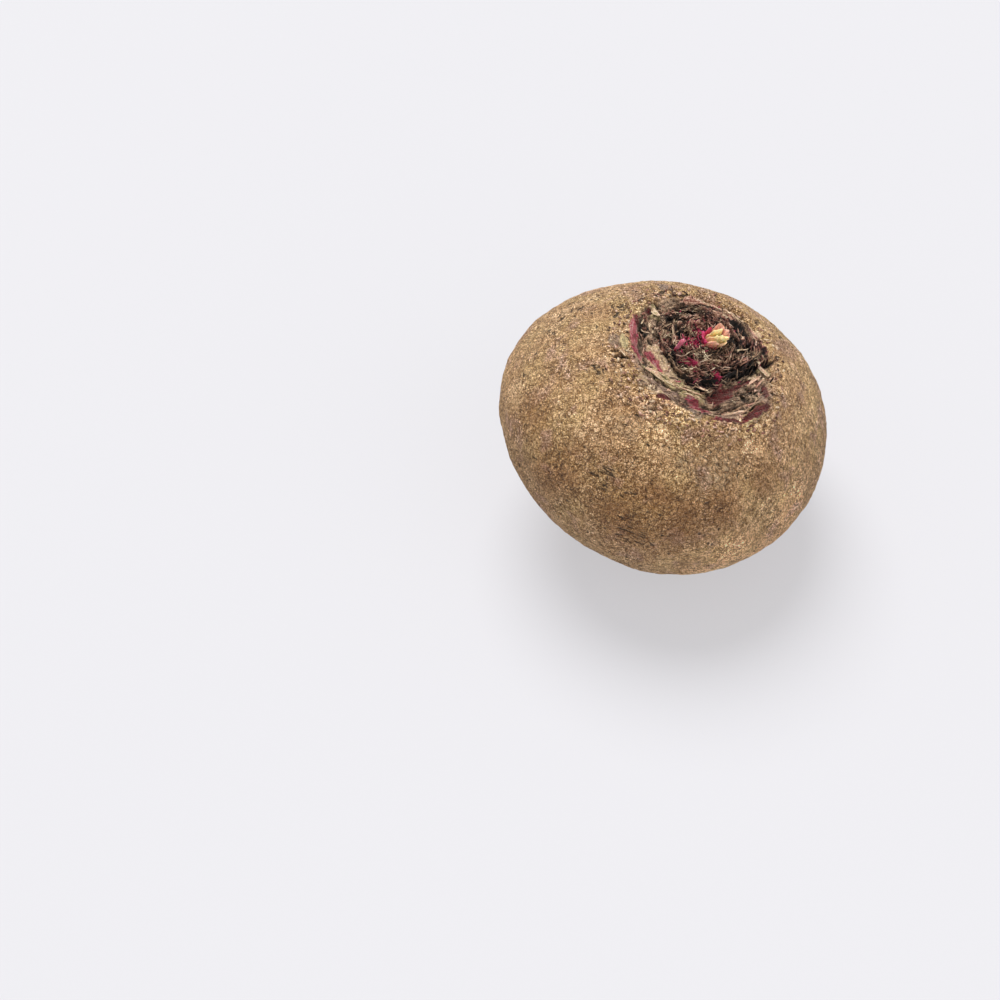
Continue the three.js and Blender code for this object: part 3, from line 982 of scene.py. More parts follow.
def build_root(material):
    """The skin of the whole root. It dips under the torn crown's shell and runs down over the tail."""
    columns, rows = 481, 206
    (crown_reach, crown_end), (tail_reach, tail_share) = CROWN_ROWS, TAIL_ROWS
    crown_angle = math.asin(crown_reach / ROOT["Girth radius"])
    tail_angle = math.pi - math.asin(tail_reach / ROOT["Girth radius"])
    tail_start = 1.0 - tail_share

    def build(size):
        grid, down, turn = sheet_of(size["Girth radius"], rows, columns)
        polar = (
            stretch_of(down, 0.0, crown_end, 0.0, crown_angle)
            + stretch_of(down, crown_end, tail_start, 0.0, tail_angle - crown_angle)
            + stretch_of(down, tail_start, 1.0, 0.0, math.pi - tail_angle)
        )
        azimuth = turn * FULL_TURN
        up, out = cosine(polar), sine(polar)
        upper = rise(up, -SHARP, SHARP)
        slim = larger(sine(polar * 2.0), 0.0) * size["Shoulder slope"] * upper
        swell = waved(azimuth, SWELLS) + up * waved(azimuth, TWIST)
        radius = size["Girth radius"] * out * (1.0 - slim + swell * out)
        x, y = spoke(radius, azimuth)
        bottom = size["Base drop"] * up - tail_length(size, radius)
        top = size["Crown rise"] * up + crown_relief(size, radius, azimuth)
        z = blend(upper, bottom, top)
        relief, keep = skin_relief(size, vector(x, y, z), radius, azimuth, upper)
        start = CAP["reach"] - CAP["edge"]
        relief = relief - rise(radius, start, start - CAP["skin slope"]) * upper * CAP["sunk"]
        drop = blend(upper, size["Base drop"], size["Crown rise"])
        spot = pushed_out(size, x, y, z, relief, azimuth, out, up, drop)
        return finished(grid, spot, keep, material)

    return grown("skin", ROOT, build)


def crown_surface(size, x, y):
    """The torn crown over a point: the smooth height, the relief on it, and what is stored there."""
    radius, azimuth = distance_of(x, y), bearing_of(y, x)
    z = crown_floor(size, radius, azimuth)
    place = vector(x, y, z)
    ring = ring_place(radius, azimuth)
    outside = radius - torn_edge(size, azimuth)
    ragged = noise(place, 1.8, 3.0, 0.75, offset=33.0) * 1.5
    hollow = rise(outside + ragged, 0.5, -0.9)
    covers = zone_values(ZONES, place)
    shelf = noise(ring, 2.1, 2.0, 0.5, stretch=(1.0, 3.4, 3.4), offset=21.0)
    # Gaps between the torn shelves, painted near-black as shade.
    gap = (1.0 - rise(size_of(shelf), 0.015, 0.085)) * hollow
    strands = noise(ring, 0.5, 2.0, 0.6, stretch=(1.0, 7.0, 7.0), offset=6.0)
    rough = noise(place, 0.8, 3.0, 0.75, offset=15.0)
    torn = size_of(shelf) * 1.5 - gap * 0.8 + strands * 0.3 + rough * 0.4
    collar = collar_share(size, radius, azimuth)
    # Dark pockets in the flaky collar: cracks, and painted shade under its flakes.
    pocket = rise(noise(place, 1.5, 3.0, 0.8, offset=50.0), 0.22, 0.4)
    pocket = pocket * collar * rise(facing(azimuth, FLAKY_BEARING), 0.55, 0.95)
    flesh = larger(covers["magenta"], covers["crimson"])
    bare = largest([covers["straw"], covers["scar"], flesh, covers["violet"]])
    gap = larger(gap, pocket) * (1.0 - bare * 0.9)
    skin, keep = skin_relief(size, place, radius, azimuth, 1.0)
    relief = (
        (skin + torn * hollow) * (1.0 - bare * 0.6)
        + strands * bare * 0.2
        + covers["straw"] * 0.6
        + covers["scar"] * 0.3
        - flesh * 0.25
        - covers["dark"] * 1.4
        - pocket * 0.6
    )
    keep.update(hollow=hollow, gap=gap, collar=collar, **covers)
    return z, relief, keep


def build_crown(material):
    """A shell over the skin, fine enough for the torn lips and shelves of the crown."""
    columns, rows = 721, 138
    middle_end, top_end = 0.06, 0.93

    def build(size):
        grid, along, turn = sheet_of(size["Girth radius"], rows, columns)
        azimuth = turn * FULL_TURN
        radius = (
            stretch_of(along, 0.0, middle_end, 0.0, CAP["hidden"])
            + stretch_of(along, middle_end, top_end, 0.0, CAP["reach"] - CAP["hidden"])
            - stretch_of(along, top_end, 1.0, 0.0, CAP["reach"])
        )
        under = rise(along, top_end - SHARP, top_end + SHARP)
        x, y = spoke(radius, azimuth)
        z, relief, keep = crown_surface(size, x, y)
        dive = rise(radius, CAP["reach"] - CAP["edge"], CAP["reach"]) * CAP["dive"]
        below = rise(radius, CAP["reach"], CAP["reach"] - CAP["shell slope"]) * CAP["sunk"] * CAP["deeper"]
        relief = blend(under, relief - dive, -below - CAP["dive"])
        out = radius / size["Girth radius"]
        up = square_root(larger(1.0 - squared(out), 0.0))
        spot = pushed_out(size, x, y, z, relief, azimuth, out, up, size["Crown rise"])
        return finished(grid, spot, keep, material)

    return grown("torn_crown", ROOT, build)


# ---------------------------------------------------------------- the pad of withered stalk bases

# What lies on the pad, as lenses: x, y, heading, length, width. The black lenses are partly painted shade in
# deep gaps.
PAD_ZONES = {
    "soot": (
        (-9.8, -6.6, -77.0, 7.0, 1.4),
        (-8.6, 0.9, -59.0, 3.6, 2.0),
        (-2.9, 8.4, -28.0, 6.0, 2.8),
        (-4.7, -14.4, -24.0, 6.4, 1.2),
        (-0.3, -13.8, 29.0, 7.4, 2.8),
        (8.2, 0.1, 18.0, 7.6, 3.0),
        (7.8, 5.9, -43.0, 6.4, 2.6),
        (-11.3, 7.2, -62.0, 5.8, 2.4),
        (14.4, 2.8, 20.0, 6.6, 2.2),
        (0.8, -5.4, 14.0, 4.2, 1.1),
        (4.9, 0.4, 20.0, 3.2, 2.0),
        (8.8, -6.6, 41.0, 15.4, 2.4),
        (-8.5, 6.2, -51.0, 4.0, 1.7),
        (1.0, 13.6, 175.0, 9.0, 1.6),
    ),
    "flesh": (
        (-2.9, 0.0, -57.0, 5.4, 2.8),
        (-5.3, -2.9, -22.0, 6.4, 3.4),
        (-5.7, -9.3, -34.0, 4.6, 1.3),
        (2.2, -11.8, -56.0, 3.8, 1.8),
        (-8.6, -5.4, -60.0, 2.6, 1.4),
        (-5.7, 4.8, -39.0, 3.4, 1.5),
    ),
    "ash": (
        (-4.2, -6.6, -19.0, 5.4, 3.2),
        (-10.6, -0.9, -70.0, 6.8, 3.0),
        (-1.1, -9.1, -4.0, 7.2, 3.2),
        (-4.8, 4.8, -31.0, 7.0, 3.2),
        (2.6, 9.8, 165.0, 9.0, 1.8),
        (-3.4, -11.6, -7.0, 6.2, 2.8),
        (9.8, -3.5, 40.0, 12.0, 1.9),
        (-12.4, 3.4, -80.0, 9.0, 1.8),
    ),
}


def bud_ring(x, y, up=0.0):
    """Coordinates for patterns that run round the bud."""
    from_x, from_y = x - BUD_PLACE[0], y - BUD_PLACE[1]
    return ring_place(distance_of(from_x, from_y) + up, bearing_of(from_y, from_x))


def pad_surface(size, x, y):
    """The pad over a point: its height, and what is stored there."""
    smooth = pad_height(size, size, x, y)
    place, ring = vector(x, y, smooth), bud_ring(x, y)
    covers = zone_values(PAD_ZONES, place)
    # The black lenses are sunk and darkened: withered tissue and painted shade.
    soot, ash = covers["soot"], covers["ash"]
    shelf = noise(ring, 1.6, 2.0, 0.55, stretch=(1.0, 3.2, 3.2), offset=8.0)
    gap = 1.0 - rise(size_of(shelf), 0.02, 0.14)
    strands = noise(ring, 0.36, 2.0, 0.65, stretch=(1.0, 7.0, 7.0), offset=2.0)
    lumps = noise(place, 2.4, 3.0, 0.6, offset=3.0)
    relief = size_of(shelf) * 1.7 - gap * 0.9 + strands * 0.35 + lumps * 0.9 - soot * 0.8 - 0.3
    # Paler where the pad is raised and darker in the gaps between its shelves: painted light and painted shade.
    tone = size_of(shelf) * 0.45 - gap * 0.35 + lumps * 0.14 + ash * 0.15 - soot * 0.42 + 0.41
    return smooth + relief, {"place": place, "ring": ring, "tone": tone, "flesh": covers["flesh"]}


def build_pad(material):
    """The pad's fibrous top, its ragged outline and its underside, which is sunk in the crown."""
    columns, rows = 641, 114
    top_end, wall_end = 0.90, 0.95

    def build(size):
        grid, out, turn = sheet_of(size["Girth radius"], rows, columns)
        azimuth = turn * FULL_TURN
        ragged = noise(vector(*spoke(RING_REACH, azimuth), 0.0), 2.6, 4.0, 0.7) * 1.5
        share = stretch_of(out, 0.0, top_end, 0.0, 1.0)
        fall = stretch_of(out, top_end, wall_end, 0.0, 1.0)
        back_in = stretch_of(out, wall_end, 1.0, 1.0, 0.0)
        reach = (pad_reach(size, azimuth) + ragged) * share * back_in
        x, y = spoke(reach, azimuth, (size["Middle X"], size["Middle Y"]))
        top, keep = pad_surface(size, x, y)
        under = pad_height(size, size, x, y) - size["Edge"] - 2.4
        return finished(grid, (x, y, blend(fall, top, under)), keep, material)

    return grown("stalk_pad", {**ROOT, **PAD}, build)


STUBS = {
    "Count": 45,
    "Inner radius": 5.4,
    "Room": 6.4,
    "Inner width": 5.0,
    "Outer width": 9.4,
    "Wall": 1.3,
    "Inner height": 2.4,
    "Outer height": 1.7,
    "Sunk": 2.0,
    "Seed": 11,
}


def build_stubs(material):
    """The torn ends of single stalk bases, curved walls set round the bud by the golden turn."""
    stations, loop = 29, 17

    def build(size):
        wire = size["Seed"]
        leaf = wire.add("GeometryNodeInputIndex")
        radius = square_root(squared(size["Inner radius"]) + size["Room"] * leaf)
        turn = leaf * math.radians(GOLDEN_TURN)
        x, y = spoke(radius, turn, BUD_PLACE)
        outward = smaller(radius / size["Radius X"], 1.0)
        points = kept(
            scattered(size),
            foot_x=x,
            foot_y=y,
            heading=turn + chance(size, -0.2, 0.2, 1),
            width=blend(outward, size["Inner width"], size["Outer width"]) * chance(size, 0.75, 1.15, 2),
            height=blend(outward, size["Inner height"], size["Outer height"]) * chance(size, 0.6, 1.25, 3),
            lean=blend(outward, 0.1, 0.7) + chance(size, -0.2, 0.2, 4),
            own_noise=chance(size, 0.0, 90.0, 5),
            own_tone=chance(size, -0.16, 0.16, 6),
        )
        points = without(points, inside_pad(size, x, y), 0.3)
        grid, across, round_it = sheet_of(wire, stations, loop)
        walls = repeated(points, grid)
        across = across * 2.0 - 1.0
        angle = round_it * FULL_TURN
        up_share = sine(angle) * 0.5 + 0.5
        width, height, lean, own, own_tone = recalled(wire, "width", "height", "lean", "own_noise", "own_tone")
        wall = size["Wall"] * square_root(larger(1.0 - squared(across), 0.0)) * (1.0 - up_share * 0.55)
        fibre = noise(vector(across * width, own, up_share), 0.34, 2.0, 0.7, stretch=(1.0, 1.0, 3.0))
        torn = noise(vector(across * width, own, 0.0), 0.9, 3.0, 0.8, offset=3.0)
        tall = height * (1.0 - squared(across) * 0.5) * (1.0 + torn * 0.9)
        up = up_share * (tall + size["Sunk"] + fibre * up_share * 0.5) - size["Sunk"]
        waver = noise(vector(across * width, own, up), 2.0, 2.0, offset=9.0) * 1.1
        bow = squared(across) * width * -0.16
        out = bow + cosine(angle) * wall * 0.5 + lean * larger(up, 0.0) + fibre * 0.16 + waver
        heading, foot_x, foot_y = recalled(wire, "heading", "foot_x", "foot_y")
        step_x, step_y = turned(out, across * width * 0.5, heading)
        x, y = foot_x + step_x, foot_y + step_y
        z = pad_height(size, size, foot_x, foot_y) - 0.4 + up
        place = vector(x, y, z)
        covers = zone_values(PAD_ZONES, place)
        # Each wall is paler towards its top edge and darker at its foot: painted light and painted shade.
        tone = squared(up_share) * 0.42 + own_tone - covers["soot"] * 0.38 + covers["ash"] * 0.1 + 0.22
        keep = {"place": place, "ring": bud_ring(x, y, up * 0.8), "tone": tone, "flesh": covers["flesh"]}
        return finished(walls, (x, y, z), keep, material)

    return grown("stalk_stubs", {**ROOT, **PAD, **STUBS}, build)


# Fibres lying on the pad, and fibres and shreds lying in the torn crown round it.
PAD_FIBRES = {
    "Count": 2300,
    "Nearest": 2.9,
    "Farthest": 17.0,
    "Length": 3.1,
    "Width": 0.085,
    "Lift": 0.8,
    "Slant": 0.8,
    "Above": 0.4,
    "Seed": 31,
}
CROWN_FIBRES = {
    "Count": 700,
    "Nearest": 12.5,
    "Farthest": 25.5,
    "Length": 2.4,
    "Width": 0.09,
    "Lift": 0.7,
    "Slant": 0.6,
    "Above": 0.1,
    "Seed": 47,
}


def build_fibres(name, material, sizes, on_pad):
    """Dry fibres: round the bud on the pad, or round the pad in the torn crown. They keep off bare areas."""
    stations, loop = 9, 5

    def build(size):
        wire = size["Seed"]
        nearest, farthest = squared(size["Nearest"]), squared(size["Farthest"])
        radius = square_root(blend(chance(size, 0.0, 1.0, 1), nearest, farthest))
        turn = chance(size, 0.0, FULL_TURN, 2)
        x, y = spoke(radius, turn, BUD_PLACE if on_pad else (0.0, 0.0))
        covers = zone_values(PAD_ZONES if on_pad else ZONES, vector(x, y, 0.0))
        room = inside_pad(size, x, y)
        if on_pad:
            dark, pale, flesh = covers["soot"], covers["ash"], covers["flesh"]
            clear = flesh + dark * 0.5
        else:
            dark, pale, flesh = covers["dark"], covers["scar"], larger(covers["magenta"], covers["crimson"])
            clear = largest([flesh, covers["straw"], covers["violet"]]) + pale * 0.6
            outside = radius - torn_edge(size, turn)
            room = smaller(-room - 0.2, chance(size, -2.0, 1.2, 9) - outside)
        room = smaller(room, chance(size, 0.0, 1.0, 12) - clear)
        tone = chance(size, 0.0, 1.0, 3)
        tone = blend(rise(tone, 0.34, 0.36), 0.16, tone * tone * tone * 0.5 + 0.38)
        wild = rise(chance(size, 0.0, 1.0, 4), 0.82, 0.83)
        points = kept(
            scattered(size),
            foot_x=x,
            foot_y=y,
            turn=turn,
            bend=radius,
            slant=chance(size, -1.0, 1.0, 5) * blend(wild, size["Slant"], 1.6),
            length=size["Length"] * chance(size, 0.35, 1.0, 6) * blend(dark, 1.0, 0.6),
            width=size["Width"] * chance(size, 0.5, 1.5, 7),
            lift=size["Lift"] * chance(size, 0.0, 1.0, 8) ** 3.0,
            own_noise=chance(size, 0.0, 90.0, 10),
            own_tone=tone - dark * 0.3 + pale * 0.14,
            red=rise(chance(size, 0.0, 1.0, 11) + flesh * 0.4, 0.97, 0.98),
        )
        points = without(points, room, 0.0)
        grid, along, round_it = sheet_of(wire, stations, loop)
        strands = repeated(points, grid)
        along = along - 0.5
        angle = round_it * FULL_TURN
        foot_x, foot_y, turn = recalled(wire, "foot_x", "foot_y", "turn")
        bend, slant, length, width = recalled(wire, "bend", "slant", "length", "width")
        lift, own, own_tone, red = recalled(wire, "lift", "own_noise", "own_tone", "red")
        reach = along * length
        sway = noise(vector(reach, own, 0.0), 2.2, 1.0) * length * 0.10
        forward, outward = turned(reach, sway, slant)
        step_x, step_y = turned(outward - squared(forward) / (bend * 2.0), forward, turn)
        middle_x, middle_y = foot_x + step_x, foot_y + step_y
        thin = width * square_root(larger(1.0 - squared(along * along * 4.0), 0.0))
        across = cosine(angle) * thin * 1.5
        x, y = spoke(across, turn - slant, (middle_x, middle_y))
        if on_pad:
            smooth = pad_height(size, size, middle_x, middle_y)
        else:
            smooth = crown_height(size, middle_x, middle_y)
        lumps = noise(vector(middle_x, middle_y, smooth), 2.4, 3.0, 0.6, offset=3.0) * 0.9
        raised = lift * squared(along + 0.5) * 2.0 + own_tone * 0.5
        z = smooth + lumps + size["Above"] + raised + sine(angle) * thin * 0.8
        ring = vector(reach * 0.12 + across * 2.0, own, angle * 0.3)
        keep = {"place": vector(x, y, z), "ring": ring, "tone": own_tone, "flesh": red}
        return finished(strands, (x, y, z), keep, material)

    return grown(name, {**ROOT, **PAD, **sizes}, build)


PAD_CRUMBS = {
    "Count": 2000,
    "Nearest": 2.6,
    "Farthest": 17.0,
    "Long": 0.5,
    "Wide": 0.3,
    "Thick": 0.16,
    "Seed": 23,
}
CRUMBS = {
    "Count": 2400,
    "Nearest": 13.0,
    "Farthest": 30.0,
    "Long": 1.05,
    "Wide": 0.56,
    "Thick": 0.15,
    "Seed": 5,
}


def build_crumbs(name, material, sizes, on_pad):
    """Crumbs of withered stalk on the pad, or flakes of cork round the crown, thickest on its left."""

    def build(size):
        wire = size["Seed"]
        radius = blend(chance(size, 0.0, 1.0, 1), size["Nearest"], size["Farthest"])
        turn = chance(size, -math.pi, math.pi, 2)
        x, y = spoke(radius, turn, BUD_PLACE if on_pad else (0.0, 0.0))
        if on_pad:
            level, keep = pad_surface(size, x, y)
            dark = rise(keep["tone"], 0.3, 0.0)
            wanted = rise(inside_pad(size, x, y), 0.0, 0.2) * 2.0 - dark * 0.7 - keep["flesh"]
            tone = chance(size, 0.1, 0.8, 9)
        else:
            smooth, relief, keep = crown_surface(size, x, y)
            level, dark = smooth + relief, keep["dark"]
            flaky = blend(facing(turn, CRUMBLY_BEARING), 0.45, 0.9)
            wanted = keep["collar"] * flaky + dark * 0.7 + keep["hollow"] * 0.3
            wanted = wanted - keep["straw"] - keep["magenta"] - keep["crimson"]
            tone = chance(size, 0.4, 0.92, 9)
        points = kept(
            scattered(size),
            foot_x=x,
            foot_y=y,
            foot_z=level,
            heading=turn + chance(size, 0.6, 2.5, 3),
            long=size["Long"] * chance(size, 0.35, 1.0, 4),
            wide=size["Wide"] * chance(size, 0.4, 1.0, 5),
            thick=size["Thick"] * chance(size, 0.5, 1.3, 6),
            tip=chance(size, -0.5, 0.5, 7),
            own_noise=chance(size, 0.0, 90.0, 8),
            tone=tone - dark * 0.3,
        )
        points = without(points, wanted - chance(size, 0.0, 1.0, 10), 0.0)
        ball = wire.add("GeometryNodeMeshIcoSphere", None, {"Radius": 1.0, "Subdivisions": 1})
        crumbs = repeated(points, ball)
        along, across, up = parts_of(wire.add("GeometryNodeInputPosition"))
        long, wide, thick, tip = recalled(wire, "long", "wide", "thick", "tip")
        heading, own, tone = recalled(wire, "heading", "own_noise", "tone")
        foot_x, foot_y, foot_z = recalled(wire, "foot_x", "foot_y", "foot_z")
        uneven = noise(vector(along, across + own, up), 0.8, 1.0) * 0.5 + 1.0
        along, across = along * long * uneven, across * wide * uneven
        step_x, step_y = turned(along, across, heading)
        x, y = foot_x + step_x, foot_y + step_y
        z = foot_z + up * thick + along * tip + 0.05
        keep = {"place": vector(x, y, z), "ring": vector(along, across + own, 0.0), "tone": tone}
        return finished(crumbs, (x, y, z), keep, material)

    return grown(name, {**ROOT, **PAD, **sizes}, build)


ROOT_HAIRS = {
    "Count": 34,
    "Nearest": 4.4,
    "Farthest": 12.0,
    "Length": 8.0,
    "Width": 0.14,
    "Lift": 1.2,
    "Seed": 83,
}


def build_hairs(material):
    """Fine withered roots that run over the skin round the tail."""
    stations, loop = 19, 6

    def build(size):
        wire = size["Seed"]
        points = kept(
            scattered(size),
            start=blend(chance(size, 0.0, 1.0, 1) ** 2.0, size["Nearest"], size["Farthest"]),
            turn=chance(size, -math.pi, math.pi, 2),
            slant=chance(size, -1.3, 1.3, 3),
            length=size["Length"] * chance(size, 0.3, 1.0, 4),
            width=size["Width"] * chance(size, 0.6, 1.3, 5),
            lift=size["Lift"] * chance(size, 0.1, 1.0, 6),
            own_noise=chance(size, 0.0, 90.0, 7),
        )
        grid, along, round_it = sheet_of(wire, stations, loop)
        hairs = repeated(points, grid)
        start, turn, slant, length = recalled(wire, "start", "turn", "slant", "length")
        width, lift, own = recalled(wire, "width", "lift", "own_noise")
        angle = round_it * FULL_TURN
        reach = along * length
        sway = noise(vector(reach, own, 0.0), 3.2, 2.0) * length * 0.16 * along
        outward, sideways = turned(reach, sway, slant)
        thin = width * (1.15 - along) * rise(along, -0.02, 0.02)
        radius = start + outward + cosine(angle) * thin * sine(slant)
        azimuth = turn + (sideways + cosine(angle) * thin * cosine(slant)) / larger(start + outward, 3.0)
        dome = size["Base drop"] * square_root(1.0 - squared(radius / size["Girth radius"]))
        level = dome + tail_length(size, radius)
        x, y = spoke(radius, azimuth)
        z = -(level + (sine(along * math.pi) * lift + 0.25 + sine(angle) * thin))
        ring = vector(reach * 0.1 + angle * 0.3, own, 0.0)
        keep = {"place": vector(x, y, z), "ring": ring, "tone": 0.62 + along * 0.12}
        return finished(hairs, (x, y, z), keep, material)

    return grown("hair_roots", {**ROOT, **ROOT_HAIRS}, build)


# ---------------------------------------------------------------- shapes lofted from rings of points


def loft(rings, values):
    """A closed skin over rings of points, as vertices, faces and a value for each vertex."""
    count, around = rings.shape[:2]
    points = rings.reshape(-1, 3)
    ends = np.array([rings[0].mean(axis=0), rings[-1].mean(axis=0)])
    faces = []
    for ring in range(count - 1):
        for step in range(around):
            after = (step + 1) % around
            low, high = ring * around, (ring + 1) * around
            faces.append((low + step, low + after, high + after, high + step))
    first, last, start = count * around, count * around + 1, (count - 1) * around
    for step in range(around):
        after = (step + 1) % around
        faces.append((first, after, step))
        faces.append((last, start + step, start + after))
    levels = np.concatenate([np.repeat(values, around), [values[0], values[-1]]])
    return np.vstack([points, ends]), faces, levels


def store_on(mesh, label, kind, values):
    """Stores a value on each of a mesh's points."""
    layer = mesh.attributes.new(label, kind, "POINT")
    field = "vector" if kind == "FLOAT_VECTOR" else "value"
    layer.data.foreach_set(field, values.astype(np.float32).ravel())


def join_lofts(name, lofts, material, flags, grains=None):
    """One mesh object from several lofts. flags holds, for each value's name, one number or array a loft, and
    grains holds the coordinates that each loft's fibres follow."""
    points, faces, values = [], [], {label: [] for label in flags}
    for index, (loft_points, loft_faces, _) in enumerate(lofts):
        start = sum(len(p) for p in points)
        faces += [tuple(corner + start for corner in face) for face in loft_faces]
        points.append(loft_points)
        for label, choices in flags.items():
            values[label].append(np.broadcast_to(choices[index], len(loft_points)))
    own = np.vstack(points)
    mesh = bpy.data.meshes.new(name)
    mesh.from_pydata(np.stack(leaned(*own.T), axis=1).tolist(), [], faces)
    shape = bmesh.new()
    shape.from_mesh(mesh)
    bmesh.ops.recalc_face_normals(shape, faces=shape.faces)
    shape.to_mesh(mesh)
    shape.free()
    store_on(mesh, "place", "FLOAT_VECTOR", own)
    if grains:
        store_on(mesh, "ring", "FLOAT_VECTOR", np.vstack(grains))
    for label, pieces in values.items():
        store_on(mesh, label, "FLOAT", np.concatenate(pieces))
    mesh.shade_smooth()
    mesh.materials.append(material)
    return added(name, mesh)


# ---------------------------------------------------------------- the bud, the side shoot and the torn shreds

# The bud's leaves, pressed together: bearing, distance out, shift sideways, how far each opens, length, width,
# blush from yellow to red, thickness.
BUD_LEAVES = (
    (-80.0, 1.2, -1.2, 0.10, 6.0, 2.5, 0.10, 1.1),
    (-72.0, 1.0, 0.4, 0.10, 6.1, 2.6, 0.0, 1.1),
    (-64.0, 1.3, 1.8, 0.12, 4.9, 2.1, 0.14, 1.0),
    (-70.0, -0.3, -0.2, 0.03, 6.7, 4.0, 0.08, 1.2),
    (-88.0, 2.5, -0.9, 0.24, 4.9, 3.2, 0.52, 0.8),
    (-50.0, 2.5, 0.6, 0.14, 3.6, 2.2, 0.4, 0.8),
    (80.0, 1.6, -0.2, 0.16, 6.7, 3.1, 0.70, 0.8),
    (26.0, 1.9, 0.2, 0.2, 5.6, 2.3, 0.66, 0.8),
    (4.0, 2.3, 0.5, 0.30, 4.6, 2.4, 0.70, 0.8),
    (176.0, 1.9, 0.1, 0.60, 3.3, 3.2, 1.0, 0.7),
    (128.0, 1.6, 0.2, 0.30, 4.1, 2.6, 0.96, 0.7),
    (-136.0, 2.0, 0.2, 0.60, 3.0, 2.6, 1.0, 0.7),
)
BUD_SUNK, BUD_LEAN = 0.28, 0.22
SHOOT = {"height": 3.6, "radius": 0.6, "lean x": 0.9, "lean y": 0.2, "sunk": 1.2}


def ripple(points, length, seed):
    """Soft unevenness from about -1 to 1 over points, the same in every run."""
    draw = random.Random(seed)
    total = np.zeros(points.shape[:-1])
    for _ in range(6):
        way = np.array([draw.gauss(0.0, 1.0) for _ in range(3)])
        way = way / np.linalg.norm(way) * draw.uniform(0.7, 1.4) * 2.0 * math.pi / length
        total += np.sin(points @ way + draw.uniform(0.0, 2.0 * math.pi))
    return total / 3.5


def ground(x, y):
    """The smooth height of the pad or of the torn crown."""
    return np.where(inside_pad(PAD, x, y) > 0.0, pad_height(ROOT, PAD, x, y), crown_height(ROOT, x, y))


def pressed(angle, middle, width, depth):
    """A crease along a leaf, sunk in its outer face and standing out of its inner one."""
    side = np.where(np.cos(angle) > 0.0, -1.0, 0.6)
    return depth * np.exp(-(((np.sin(angle) - middle) / width) ** 2)) * side


def bud_leaf(index, foot, share, angle):
    """One leaf of the bud as rings of points, and the blush on each of them and on its two ends."""
    bearing, out, shift, opening, length, width, blush, thick = BUD_LEAVES[index]
    breadth = np.sin(math.pi * (0.2 + 0.62 * share)) ** 0.6 * np.sqrt(np.clip(1.0 - share**12, 0.04, 1.0))
    across = np.sin(angle) * breadth * width / 2.0
    creases = pressed(angle, 0.2, 0.2, 0.26) + pressed(angle, -0.5, 0.16, 0.2)
    cup = -0.3 * (np.sin(angle) ** 2) * width * 0.35
    through = (np.cos(angle) * thick / 2.0 + creases * np.sign(np.cos(angle))) * breadth + cup * breadth
    x = out + opening * length * share**1.6 + through
    z = foot + length * (share - BUD_SUNK) + across * 0.0
    leaf = np.stack([x, shift + across, z], axis=2)
    crumple = ripple(leaf, 2.4, 40 + index) * 0.3 + ripple(leaf, 1.0, 60 + index) * 0.13
    ragged = ripple(np.stack([across, 0.0 * across, 0.0 * across], axis=2), 1.3, 20 + index)
    leaf[..., 0] += crumple
    leaf[..., 1] += ripple(leaf, 2.2, 80 + index) * 0.26
    leaf[..., 2] += ripple(leaf, 1.6, 90 + index) * 0.25 * share + ragged * share**6 * 0.4
    leaf[..., 0], leaf[..., 1] = turned(leaf[..., 0], leaf[..., 1], math.radians(bearing))
    reddened = np.clip(-leaf[..., 0] * 0.16 - 0.05, 0.0, 0.7).ravel() * (blush < 0.5)
    leaf[..., 0] += BUD_PLACE[0] + (leaf[..., 2] - foot) * BUD_LEAN
    leaf[..., 1] += BUD_PLACE[1]
    return leaf, np.concatenate([reddened + blush, [blush, blush]])


def build_bud(material):
    """The bud's leaves, and a low dome that closes the gaps between their feet."""
    lofts, blushes = [], []
    share = np.linspace(0.02, 0.99, 26)
    angle = np.linspace(0.0, FULL_TURN, 28, endpoint=False)
    foot = float(pad_height(ROOT, PAD, *BUD_PLACE))
    for index in range(len(BUD_LEAVES)):
        leaf, blush = bud_leaf(index, foot, share[:, None], angle[None, :])
        lofts.append(loft(leaf, share))
        blushes.append(blush)
    core = np.linspace(0.06, math.pi - 0.06, 14)[:, None]
    x, y = spoke(2.5 * np.sin(core), angle, BUD_PLACE)
    dome = np.stack([x, y, foot - 1.7 * np.cos(core) + 0.0 * angle], axis=2)
    dome[..., 2] += ripple(dome, 1.3, 7) * 0.25
    lofts.append(loft(dome, core[:, 0] * 0.0))
    blushes.append(1.0)
    shares = [made[2] for made in lofts]
    return join_lofts("young_bud", lofts, material, {"blush": blushes, "share": shares})


def build_shoot(material):
    """The short ribbed stalk beside the bud, with a ragged, sunken end."""
    share = np.linspace(0.0, 1.0, 40)[:, None]
    angle = np.linspace(0.0, FULL_TURN, 24, endpoint=False)[None, :]
    foot = float(pad_height(ROOT, PAD, *SHOOT_PLACE)) - SHOOT["sunk"]
    ragged = ripple(np.stack([np.cos(angle), np.sin(angle), 0.0 * angle], axis=2), 1.6, 3) * 0.4
    level = (SHOOT["height"] + SHOOT["sunk"]) * share + ragged * share**8
    level = level - np.where(share > 0.97, 0.5, 0.0)
    swell = (1.0 + 0.1 * np.sin(share * 9.0)) * np.where(share > 0.97, 0.55, 1.0)
    radius = SHOOT["radius"] * swell * (1.0 + 0.05 * np.cos(angle * 7.0))
    x = SHOOT_PLACE[0] + SHOOT["lean x"] * share**2 + np.cos(angle) * radius
    y = SHOOT_PLACE[1] + SHOOT["lean y"] * share**2 + np.sin(angle) * radius * 0.75
    made = loft(np.stack([x, y, foot + level], axis=2), share[:, 0])
    return join_lofts("pink_shoot", [made], material, {"blush": [0.0], "share": [made[2]]})


